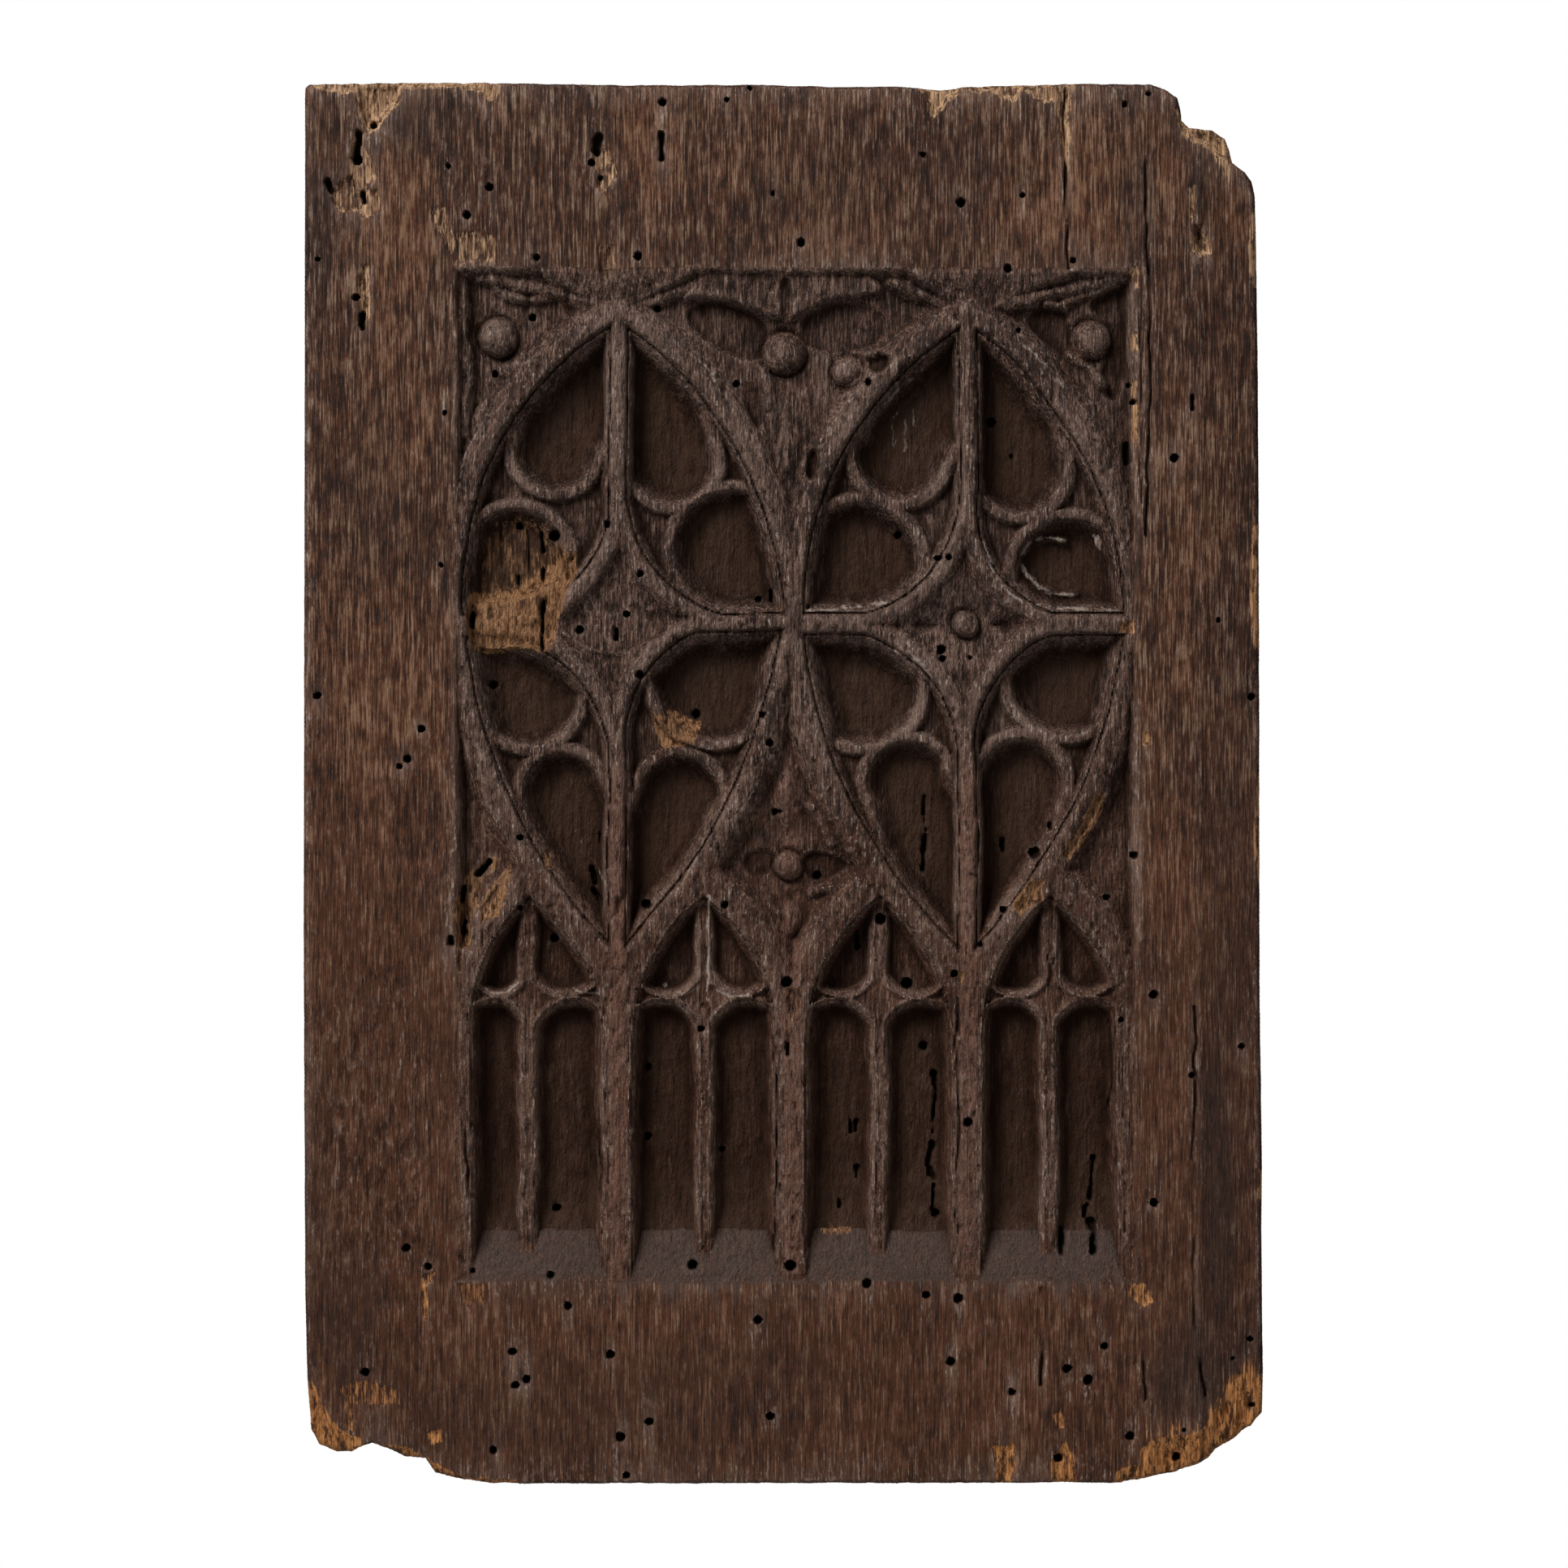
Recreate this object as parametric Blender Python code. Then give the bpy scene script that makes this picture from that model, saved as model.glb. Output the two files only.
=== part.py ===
"""Carved oak wall panel: one board with a sunk field of blind tracery, two pointed ovals standing on
four lancet lights. The back lies on y = 0, the carved front faces -Y, and z runs up."""

import math

import bmesh
import bpy
from mathutils import Matrix, Vector

MM = 0.001

# The sunk field, and the plain margins of the board round it
FIELD_WIDTH = 184 * MM
FIELD_HEIGHT = 274.6 * MM
MARGIN_LEFT = 41 * MM
MARGIN_RIGHT = 35 * MM
MARGIN_TOP = 50.4 * MM
MARGIN_FOOT = 55 * MM
FIELD_SIDE_SLOPE = 1.5 * MM

# The board
BOARD_HEIGHT = MARGIN_FOOT + FIELD_HEIGHT + MARGIN_TOP
BOARD_WIDTH = MARGIN_LEFT + FIELD_WIDTH + MARGIN_RIGHT
BOARD_THICKNESS = 24 * MM
EDGE_WEAR_WIDTH = 16 * MM
EDGE_WEAR_DEPTH = 2.6 * MM

# How deep each layer of the carving lies under the board's face
CREST_DEPTH = 0.5 * MM
SECOND_ORDER_DEPTH = 3.6 * MM
SPANDREL_DEPTH = 5.2 * MM
STAR_DEPTH = 2.4 * MM
STAR_DISH = 2.6 * MM
POCKET_DEPTH = 9.6 * MM

# Widths of the mouldings, out from a rib's centre line
CREST_HALF = 2.1 * MM
ORDER_HALF = 3.8 * MM
POCKET_HALF = 6.4 * MM
CUSP_HALF = 0.7 * MM
CUSP_FOOT = 3.8 * MM
LEDGE = 0.2 * MM
OUTER_SLOPE = 2.2 * MM
STAR_SLOPE = 1.4 * MM

# Heights in the field, in thousandths of its height, up from the sill's edge
OVAL_FOOT = 311
LANCET_HEAD = 396
LANCET_BAR = 280
LANCET_SPRING = 224
SILL_TOP = 50

# The five shafts, and the bar in the middle of each light, in thousandths of the field's width
OVAL_AXES = {"left": 240, "right": 755}
SHAFTS = (4, OVAL_AXES["left"], 496, OVAL_AXES["right"], 1000)
LIGHT_BARS = (107, 367, 625, 876)
LIGHT_BULGE = 37

# Each oval's four quarters, out from its shaft: the oval's own arc (crest) runs from its tip or foot
# to the arm, the star's arc from the shoulder to the arm, and a drop (tear) and a round (foil) are
# sunk between them. Places are in thousandths of the field's width and height, radii and bulges in
# thousandths of its width.
OVAL_TIP = 956
OVAL_MIDDLE = 649
QUARTERS = (
    dict(oval="left", end="tip", arm=(3, 649), shoulder=783, star=78, crest=81,
         tear=(148, 821, 71), foil=(86, 709, 88)),
    dict(oval="left", end="tip", arm=(496, 649), shoulder=791, star=86, crest=67,
         tear=(319, 811, 74), foil=(407, 722, 96)),
    dict(oval="left", end="foot", arm=(4, 643), shoulder=527, star=64, crest=50,
         tear=(157, 483, 67), foil=(105, 582, 88)),
    dict(oval="left", end="foot", arm=(496, 649), shoulder=519, star=93, crest=45,
         tear=(333, 477, 69), foil=(381, 596, 100)),
    dict(oval="right", end="tip", arm=(500, 649), shoulder=783, star=80, crest=72,
         tear=(655, 815, 74), foil=(594, 706, 100)),
    dict(oval="right", end="tip", arm=(1000, 649), shoulder=783, star=89, crest=61,
         tear=(831, 803, 76), foil=(902, 699, 88)),
    dict(oval="right", end="foot", arm=(500, 645), shoulder=519, star=76, crest=55,
         tear=(667, 493, 69), foil=(597, 587, 95)),
    dict(oval="right", end="foot", arm=(1000, 645), shoulder=519, star=84, crest=47,
         tear=(835, 493, 71), foil=(900, 595, 92)),
)

# Balls and bosses: place and radius
BALLS = ((62, 932, 30), (485, 916, 32), (936, 930, 30), (577, 898, 22), (751, 649, 20), (491, 409, 21))
BALL_TOP_DEPTH = 1 * MM
BALL_TURN = 7

# Raised leaves: root, tip, half width, and how far under the face their ridge lies in millimetres
LEAVES = (
    ((8, 984), (235, 960), 26, 1.2),
    ((399, 988), (250, 960), 26, 1.2),
    ((625, 988), (740, 960), 26, 1.2),
    ((992, 988), (758, 958), 26, 1.2),
    ((16, 830), (222, 952), 22, 1.4),
    ((984, 831), (780, 940), 22, 1.4),
    ((472, 948), (392, 978), 24, 1.6),
    ((494, 948), (618, 976), 24, 1.6),
    ((486, 893), (494, 740), 38, 3.2),
    ((490, 517), (492, 436), 38, 2.6),
    ((494, 330), (492, 380), 34, 2.2),
)

# Sunk petals: root, tip, half width, and how far they go into the ground round them in millimetres
SPANDREL_PETALS = (
    ((456, 926), (330, 962), 33, 3),
    ((514, 930), (640, 964), 30, 3),
    ((474, 409), (400, 413), 26, 2.4),
    ((508, 408), (584, 412), 26, 2.4),
    ((20, 890), (44, 968), 22, 2),
    ((922, 880), (985, 962), 30, 2.4),
)
STAR_PETALS = (
    ((732, 648), (664, 648), 22, 3.4),
    ((770, 648), (838, 648), 22, 3.4),
)

# The scoops that fall to the ovals' tips: both ends along the field's top edge
SCOOPS = ((66, 410), (628, 990))
SCOOP_EDGE_DEPTH = 0.4 * MM
SCOOP_TIP_DEPTH = 2.8 * MM

# The broken corners: steps from the corner along x and z, going clockwise round the front
CORNER_ROUND = 1.8 * MM
BREAK_TOP_RIGHT = ((-30, 0), (-24, -3), (-22, -11), (-14, -13), (-9, -19), (-4, -24), (-2, -31), (0, -50))
BREAK_LOW_RIGHT = ((0, 20), (-4, 15), (-8, 12), (-14, 8), (-20, 4), (-34, 1), (-44, 0))
BREAK_LOW_LEFT = ((50, 0), (37, 1), (34, 4), (31, 7), (24, 8), (18, 11), (10, 9), (4, 11), (1, 18), (0, 50))

# Losses in the carving: place, half width, half height, and depth in millimetres
LOSSES = ((90, 643, 66, 27, 6.2), (44, 372, 40, 38, 4.6))
LOSS_RIM_POINTS = 11
LOSS_UNEVEN = 0.16

# The deep chip in the top edge
TOP_CHIP_FROM_LEFT = 22 * MM
TOP_CHIP_HEIGHT = 13 * MM
TOP_CHIP_WIDTH = 16 * MM
TOP_CHIP_DEPTH = 7 * MM

OAK_COLOUR = (0.083, 0.047, 0.030, 1)
OAK_ROUGHNESS = 0.62

FRONT = -BOARD_THICKNESS
FIELD_LEFT = -BOARD_WIDTH / 2 + MARGIN_LEFT
FIELD_FOOT = -BOARD_HEIGHT / 2 + MARGIN_FOOT

# How far cutters run past what they cut, how deep joined shapes are sunk, and the least they keep
CLEAR = 4 * MM
SUNK = 2 * MM
LEAST_REACH = 0.3 * MM

# Shares: of a light's half for its drop, of a main rib's width for a light's, and the floor of a
# split-off patch or a chip over its rim
DROP_SHARE = 0.84
LIGHT_RIB_SHARE = 0.92
LOSS_FLOOR_SHARE = 0.86
CHIP_FLOOR_SHARE = 0.6

# Where a pocket's wall bends: share of its depth, then of its way in from a rib and from a cusp
KNEE_DEPTH = 0.55
KNEE_SIDE = 0.4
KNEE_CUSP = 0.45

# How many points go round each outline
OVAL_POINTS = 44
QUARTER_POINTS = 30
HOLLOW_POINTS = 22
DROP_POINTS = 16
HEAD_POINTS = 11
STAR_POINTS = 36
ARCH_POINTS = 5
LENS_PARTS = 6
LENS_FULLNESS = 0.8


def across(share):
    return share / 1000 * FIELD_WIDTH


def at(u, v):
    """World x and z of a place given in thousandths of the field's width and height."""
    return Vector((FIELD_LEFT + across(u), height(v)))


def disk_through(p, q, bulge, inner):
    """Circle through p and q whose arc stands out from the chord, on the side away from inner."""
    chord = q - p
    radius = chord.length**2 / (8 * bulge) + bulge / 2
    out = Vector((-chord.y, chord.x)).normalized()
    if out.dot(inner - p) > 0:
        out = -out
    return (p + q) / 2 + out * (bulge - radius), radius


def leave_disk(start, way, disk, inset):
    centre, radius = disk
    gap = start - centre
    along = gap.dot(way)
    return -along + math.sqrt(max(along**2 - gap.length_squared + (radius - inset) ** 2, 0))


def enter_disk(start, way, disk, grow):
    centre, radius = disk
    gap = start - centre
    along = gap.dot(way)
    square = along**2 - gap.length_squared + (radius + grow) ** 2
    return math.inf if square < 0 or along > 0 else -along - math.sqrt(square)


def leave_line(start, way, point, out, inset):
    speed = way.dot(out)
    return ((point - start).dot(out) - inset) / speed if speed > 1e-6 else math.inf


def leave_drop(start, way, centre, radius, axis, inset):
    """Distance out of a round end whose sides run on along axis, from anywhere inside it."""
    size = radius - inset
    side = Vector((-axis.y, axis.x))
    offset = (start - centre).dot(side)
    speed = way.dot(side)
    sides = math.inf if abs(speed) < 1e-6 else (math.copysign(size, speed) - offset) / speed
    ahead = (start - centre).dot(axis)
    end = math.inf if way.dot(axis) > -1e-6 else -ahead / way.dot(axis)
    strip = min(sides, end) if ahead > 0 or way.dot(axis) > 0 else 0
    round_end = leave_disk(start, way, (centre, radius), inset) if way.dot(axis) <= 0 or ahead < size else 0
    return max(strip, round_end)


def ways_out(start, corners, count):
    """Directions round a point, evenly spaced but for one that goes to each corner."""
    angles = [2 * math.pi * i / count for i in range(count)]
    for corner in corners:
        angle = angle_to(start, corner)
        angles[round(angle / (2 * math.pi) * count) % count] = angle
    return [Vector((math.cos(a), math.sin(a))) for a in sorted(angles)]


def ways_to(start, targets):
    """Directions from a point to each of the places aimed at, in their order round it."""
    angles = sorted(angle_to(start, target) for target in targets)
    return [Vector((math.cos(a), math.sin(a))) for a in angles]


def angle_to(start, place):
    return math.atan2(place.y - start.y, place.x - start.x) % (2 * math.pi)


def arc_points(centre, radius, first, last, count):
    """Points on an arc, by its first and last angle in degrees."""
    turns = [math.radians(first + (last - first) * i / (count - 1)) for i in range(count)]
    return [centre + Vector((math.cos(a), math.sin(a))) * radius for a in turns]


def ring(start, ways, reach):
    """Outline round start, at the distance that reach gives for each way out."""
    return [start + way * max(reach(way), LEAST_REACH) for way in ways]


def loft(name, levels, dish=0):
    """Closed solid through outlines of the same number of points, each at its depth under the face."""
    bm = bmesh.new()
    rows = [[bm.verts.new((p.x, FRONT + depth, p.y)) for p in outline] for depth, outline in levels]
    for upper, lower in zip(rows, rows[1:]):
        for i in range(len(upper)):
            bm.faces.new((upper[i - 1], upper[i], lower[i], lower[i - 1]))
    bm.faces.new(rows[0])
    floor = bm.faces.new(rows[-1][::-1])
    if dish:
        middle = bmesh.ops.poke(bm, faces=[floor])["verts"][0]
        middle.co.y += dish
    bmesh.ops.recalc_face_normals(bm, faces=bm.faces)
    return new_object(name, bm)


def prism(name, outline, shift):
    """Closed solid of a flat outline pushed along shift."""
    bm = bmesh.new()
    face = bm.faces.new([bm.verts.new(corner) for corner in outline])
    pushed = bmesh.ops.extrude_face_region(bm, geom=[face])["geom"]
    corners = [item for item in pushed if isinstance(item, bmesh.types.BMVert)]
    bmesh.ops.translate(bm, verts=corners, vec=shift)
    bmesh.ops.recalc_face_normals(bm, faces=bm.faces)
    return new_object(name, bm)


def new_object(name, bm):
    mesh = bpy.data.meshes.new(name)
    bm.to_mesh(mesh)
    bm.free()
    return bpy.data.objects.new(name, mesh)


def new_collection(name):
    collection = bpy.data.collections.new(name)
    bpy.context.scene.collection.children.link(collection)
    return collection


def tools_for(name, pieces):
    """Collection of shapes that a Boolean takes, kept out of the render."""
    collection = new_collection(name)
    for piece in pieces:
        collection.objects.link(piece)
        piece.hide_render = True
        piece.display_type = "WIRE"
    return collection


def apply_boolean(obj, operation, collection):
    modifier = obj.modifiers.new(f"{operation.lower()} {collection.name}", "BOOLEAN")
    modifier.operation = operation
    modifier.operand_type = "COLLECTION"
    modifier.solver = "EXACT"
    modifier.collection = collection


def board_outline():
    """The board's edge, clockwise seen from the front, with its three broken corners."""
    right, top = BOARD_WIDTH / 2, BOARD_HEIGHT / 2
    points = [(-right, top - CORNER_ROUND), (-right + CORNER_ROUND, top)]
    for steps, x, z in (
        (BREAK_TOP_RIGHT, right, top),
        (BREAK_LOW_RIGHT, right, -top),
        (BREAK_LOW_LEFT, -right, -top),
    ):
        points += [(x + dx * MM, z + dz * MM) for dx, dz in steps]
    return points


def make_board():
    return prism("carved_panel", [(x, FRONT, z) for x, z in board_outline()], (0, BOARD_THICKNESS, 0))


def rectangle(left, foot, right, top):
    return [Vector((left, foot)), Vector((right, foot)), Vector((right, top)), Vector((left, top))]


def field_cutter():
    """The sunk field above the sill, with its sides a little sloped."""
    right, top = FIELD_LEFT + FIELD_WIDTH, FIELD_FOOT + FIELD_HEIGHT
    sill = FIELD_FOOT + sill_height(0)
    deep = FIELD_FOOT + sill_height(SPANDREL_DEPTH)
    slope = FIELD_SIDE_SLOPE
    return loft(
        "field",
        [
            (-CLEAR, rectangle(FIELD_LEFT, sill, right, top)),
            (0, rectangle(FIELD_LEFT, sill, right, top)),
            (SPANDREL_DEPTH, rectangle(FIELD_LEFT + slope, deep, right - slope, top - slope)),
        ],
    )


def sill_height(depth):
    """Height of the sloping sill over the field's foot, where it lies this deep."""
    return SILL_TOP / 1000 * FIELD_HEIGHT * depth / POCKET_DEPTH


def height(share):
    return FIELD_FOOT + share / 1000 * FIELD_HEIGHT


def shaft_x(index):
    return FIELD_LEFT + across(SHAFTS[index])


class Quarter:
    """A quarter of an oval: its crest arc, its star arc, its shaft and its two hollows."""

    def __init__(self, oval, end, arm, shoulder, star, crest, tear, foil):
        axis = OVAL_AXES[oval]
        self.oval = oval
        self.tip = at(axis, OVAL_TIP if end == "tip" else OVAL_FOOT)
        self.shoulder = at(axis, shoulder)
        self.arm = at(*arm)
        self.tear = at(*tear[:2])
        self.tear_radius = across(tear[2])
        self.foil = at(*foil[:2])
        self.foil_radius = across(foil[2])
        self.middle = (self.tear + self.foil) / 2
        self.crest_disk = disk_through(self.tip, self.arm, across(crest), self.middle)
        self.star_disk = disk_through(self.shoulder, self.arm, across(star), self.middle)
        self.out = Vector((math.copysign(1, self.tip.x - self.middle.x), 0))
        self.up = math.copysign(1, self.tip.y - self.shoulder.y)

    def inner_side(self, start, way, inset):
        """Distance to the shaft, or to the star's arc that the shaft runs on into past the shoulder."""
        straight = leave_line(start, way, self.tip, self.out, inset)
        if math.isfinite(straight) and (start.y + way.y * straight - self.shoulder.y) * self.up > 0:
            return straight
        if way.y * self.up > 0 and way.dot(self.out) <= 0:
            return math.inf
        return leave_disk(start, way, self.star_disk, inset)

    def reach(self, start, inset):
        """Distance to the quarter's own ribs, taken in by inset, and never past the level of its arm."""
        return lambda way: min(
            leave_disk(start, way, self.crest_disk, inset),
            self.inner_side(start, way, inset),
            leave_line(start, way, self.arm, Vector((0, -self.up)), inset),
        )

    def recess(self, name):
        ways = ways_out(self.middle, (self.tip, self.arm, self.shoulder), QUARTER_POINTS)
        levels = recess_levels(SECOND_ORDER_DEPTH, ORDER_HALF)
        return loft(name, [(d, ring(self.middle, ways, self.reach(self.middle, i))) for d, i in levels])

    def hollow(self, name, start, radius, towards):
        """The drop or the round: a round pocket that runs on to a point where the ribs let it."""
        axis = (towards - start).normalized()
        ways = ways_out(start, (towards,), HOLLOW_POINTS)
        levels = []
        for depth, side, cusp in pocket_levels():
            ribs = self.reach(start, side)

            def reach(way):
                return min(ribs(way), leave_drop(start, way, start, radius, axis, cusp))

            levels.append((depth, ring(start, ways, reach)))
        return loft(name, levels)


def pocket_levels():
    """Depth, and the inset from a main rib and from a cusp, down a pocket's wall."""
    knee = SECOND_ORDER_DEPTH + (POCKET_DEPTH - SECOND_ORDER_DEPTH) * KNEE_DEPTH
    knee_side = ORDER_HALF + (POCKET_HALF - ORDER_HALF) * KNEE_SIDE
    return (
        (-CLEAR, ORDER_HALF + LEDGE, CUSP_HALF),
        (knee, knee_side, CUSP_FOOT * KNEE_CUSP),
        (POCKET_DEPTH, POCKET_HALF, CUSP_FOOT),
    )


def oval_plate(name, quarters):
    """The solid oval that the quarters are cut from, its sides sloping out to the spandrels."""
    centre = at(OVAL_AXES[quarters[0].oval], OVAL_MIDDLE)
    corners = [q.arm for q in quarters] + [quarters[0].tip, quarters[-1].tip]
    ways = ways_out(centre, corners, OVAL_POINTS)
    levels = []
    for depth, grow in plate_levels():

        def reach(way):
            quarter = quarters[(0 if way.y >= 0 else 2) + (1 if way.x >= 0 else 0)]
            return leave_disk(centre, way, quarter.crest_disk, -grow)

        levels.append((depth, ring(centre, ways, reach)))
    return loft(name, levels)


def plate_levels():
    """Depth, and how far a rib's outer side stands out from its centre line there."""
    slope = OUTER_SLOPE / (SPANDREL_DEPTH - CREST_DEPTH)
    foot = SPANDREL_DEPTH + SUNK
    return (CREST_DEPTH, CREST_HALF), (foot, CREST_HALF + slope * (foot - CREST_DEPTH))


def recess_levels(floor, inset):
    """Depth and inset from a rib's centre line, from clear of the face down to a recess's floor."""
    return (-CLEAR, CREST_HALF), (CREST_DEPTH, CREST_HALF), (floor, inset)


class Light:
    """A lancet between two shafts, with a pointed head and a bar down its middle."""

    def __init__(self, index):
        self.edges = {-1: shaft_x(index), 1: shaft_x(index + 1)}
        self.bar = FIELD_LEFT + across(LIGHT_BARS[index])
        self.apex = Vector((self.bar, height(LANCET_HEAD)))
        self.middle = Vector((self.bar, height(LANCET_SPRING)))
        self.springs = {side: Vector((x, self.middle.y)) for side, x in self.edges.items()}
        self.disks = {
            side: disk_through(self.apex, spring, across(LIGHT_BULGE), self.middle)
            for side, spring in self.springs.items()
        }

    def side_reach(self, start, way, side, inset):
        """Distance to one side: the shaft up to the spring, and the pointed arch above it."""
        straight = leave_line(start, way, self.springs[side], Vector((side, 0)), inset)
        if way.y > 0 and start.y + way.y * min(straight, 1) > self.middle.y:
            return leave_disk(start, way, self.disks[side], inset)
        return straight

    def reach(self, start, inset, foot):
        return lambda way: min(
            self.side_reach(start, way, -1, inset),
            self.side_reach(start, way, 1, inset),
            leave_line(start, way, Vector((0, foot)), Vector((0, -1)), 0),
        )

    def outline(self, inset, foot):
        """The light's outline, with a point at the apex, at both feet and along both arcs."""
        targets = [self.apex]
        for side, spring in self.springs.items():
            outward = Vector((side * across(LIGHT_BULGE), 0))
            for i in range(1, ARCH_POINTS + 1):
                t = i / ARCH_POINTS
                targets.append(self.apex.lerp(spring, t) + outward * math.sin(math.pi * t))
            targets.append(Vector((self.edges[side] - side * inset, foot)))
        return ring(self.middle, ways_to(self.middle, targets), self.reach(self.middle, inset, foot))

    def recess(self, name):
        levels = []
        for depth, inset in recess_levels(SECOND_ORDER_DEPTH, ORDER_HALF):
            foot = FIELD_FOOT + sill_height(max(depth, CREST_DEPTH))
            levels.append((depth, self.outline(inset, foot)))
        return loft(name, levels)

    def plate(self, name):
        return loft(name, [(depth, self.outline(-grow, FIELD_FOOT)) for depth, grow in plate_levels()])

    def pocket(self, name, side, centre, radius, axis, start, aims):
        """A pocket beside the bar, with a round end that runs on along axis."""
        levels = []
        for depth, rib, cusp in pocket_levels():
            foot = FIELD_FOOT + sill_height(depth) - LEDGE
            inset = max(rib * LIGHT_RIB_SHARE, ORDER_HALF + LEDGE)
            ribs = self.reach(start, inset, foot)
            bar = rib - ORDER_HALF + CUSP_HALF

            def reach(way):
                return min(
                    ribs(way),
                    leave_line(start, way, self.apex, Vector((-side, 0)), bar),
                    leave_drop(start, way, centre, radius, axis, cusp * DROP_SHARE),
                )

            edges = (self.edges[side] - side * inset, self.bar + side * bar)
            levels.append((depth, ring(start, aims(edges, foot), reach)))
        return loft(name, levels)

    def drop(self, name, side):
        """The drop in the light's head, with its point in the apex."""
        half = abs(self.bar - self.edges[side]) / 2
        radius = half * DROP_SHARE
        middle = (self.edges[side] + self.bar) / 2 - side * (half - radius)
        centre = Vector((middle, height(LANCET_BAR) + radius))
        axis = (self.apex - centre).normalized()
        ways = ways_out(centre, [self.apex], DROP_POINTS)
        return self.pocket(name, side, centre, radius, axis, centre, lambda edges, foot: ways)

    def panel(self, name, side):
        """The tall pocket under the drop, round-headed, running down to the sill."""
        radius = abs(self.bar - self.edges[side]) / 2
        centre = Vector(((self.edges[side] + self.bar) / 2, height(LANCET_BAR) - radius))
        start = Vector((centre.x, (centre.y + FIELD_FOOT) / 2))
        head = arc_points(centre, radius, -10, 190, HEAD_POINTS)

        def aims(edges, foot):
            feet = [Vector((x, foot)) for x in edges]
            return ways_to(start, head + feet + [Vector((x, start.y)) for x in edges])

        return self.pocket(name, side, centre, radius, Vector((0, -1)), start, aims)


def star_recess(name, quarters):
    """The four-pointed star between an oval's quarters, dished in the middle."""
    centre = at(OVAL_AXES[quarters[0].oval], OVAL_MIDDLE)
    tips = [q.arm for q in quarters[:2]] + [quarters[0].shoulder, quarters[2].shoulder]
    ways = ways_out(centre, tips, STAR_POINTS)
    levels = []
    for depth, inset in recess_levels(STAR_DEPTH, CREST_HALF + STAR_SLOPE):

        def reach(way):
            return min(enter_disk(centre, way, q.star_disk, inset) for q in quarters)

        levels.append((depth, ring(centre, ways, reach)))
    return loft(name, levels, dish=STAR_DISH)


def ball(name, u, v, radius):
    """A ball carved from the ground of a spandrel, its top just under the board's face."""
    bm = bmesh.new()
    size = across(radius)
    bmesh.ops.create_uvsphere(bm, u_segments=16, v_segments=8, radius=size)
    facing = Matrix.Rotation(math.radians(BALL_TURN), 3, "Y") @ Matrix.Rotation(math.radians(90), 3, "X")
    bmesh.ops.rotate(bm, verts=bm.verts, cent=(0, 0, 0), matrix=facing)
    place = at(u, v)
    bmesh.ops.translate(bm, verts=bm.verts, vec=(place.x, FRONT + BALL_TOP_DEPTH + size, place.y))
    return new_object(name, bm)


def lens(name, root, tip, half_width, base, ridge, far):
    """Shape between two places that swells in its middle: its rim lies at base, its ridge runs to the
    depth ridge, and it is closed off behind the rim at the depth far."""
    start, end = at(*root), at(*tip)
    along = end - start
    side = Vector((-along.y, along.x)).normalized() * across(half_width)
    bm = bmesh.new()
    ends = [bm.verts.new((p.x, FRONT + base, p.y)) for p in (start, end)]
    rows = []
    for i in range(1, LENS_PARTS):
        t = i / LENS_PARTS
        swell = math.sin(math.pi * t) ** LENS_FULLNESS
        middle = start + along * t
        crest = base + (ridge - base) * swell
        rims = [(middle + side * swell, base), (middle - side * swell, base)]
        section = [rims[0], (middle, crest), rims[1], (middle, far)]
        rows.append([bm.verts.new((p.x, FRONT + d, p.y)) for p, d in section])
    for upper, lower in zip(rows, rows[1:]):
        for i in range(4):
            bm.faces.new((upper[i - 1], upper[i], lower[i], lower[i - 1]))
    for end_point, row in zip(ends, (rows[0], rows[-1])):
        for i in range(4):
            bm.faces.new((end_point, row[i - 1], row[i]))
    bmesh.ops.recalc_face_normals(bm, faces=bm.faces)
    return new_object(name, bm)


def leaf(name, root, tip, half_width, ridge):
    """A ridged leaf that stands on a spandrel's ground."""
    base = SPANDREL_DEPTH + SUNK
    return lens(name, root, tip, half_width, base, ridge * MM, base + SUNK)


def petal(name, root, tip, half_width, depth, ground):
    """A petal sunk with two sloping sides into the ground round it."""
    return lens(name, root, tip, half_width, ground - LEAST_REACH, ground + depth * MM, -CLEAR)


def scoop(name, left, right, tip):
    """The slope that falls from the field's top edge to an oval's tip."""
    edge = FIELD_FOOT + FIELD_HEIGHT + CLEAR
    ends = [FIELD_LEFT + across(left), FIELD_LEFT + across(right)]
    low = FRONT + SPANDREL_DEPTH + SUNK
    wedge = prism(name, [(ends[0], low, edge), (ends[1], low, edge), (tip.x, low, tip.y)], (0, -SUNK, 0))
    for vertex in wedge.data.vertices:
        if vertex.co.y < low - SUNK / 2:
            vertex.co.y = FRONT + (SCOOP_EDGE_DEPTH if vertex.co.z > tip.y + CLEAR else SCOOP_TIP_DEPTH)
    return wedge


def loss(name, u, v, half_width, half_height, depth):
    """A split-off patch with an uneven rim."""
    centre = at(u, v)
    rim = []
    for i in range(LOSS_RIM_POINTS):
        angle = 2 * math.pi * i / LOSS_RIM_POINTS
        uneven = 1 + LOSS_UNEVEN * math.sin(5 * angle + 1)
        x = math.cos(angle) * across(half_width) * uneven
        z = math.sin(angle) * half_height / 1000 * FIELD_HEIGHT * uneven
        rim.append(centre + Vector((x, z)))
    floor = [centre.lerp(point, LOSS_FLOOR_SHARE) for point in rim]
    return loft(name, [(-CLEAR, rim), (depth * 0.5 * MM, rim), (depth * MM, floor)])


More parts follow.
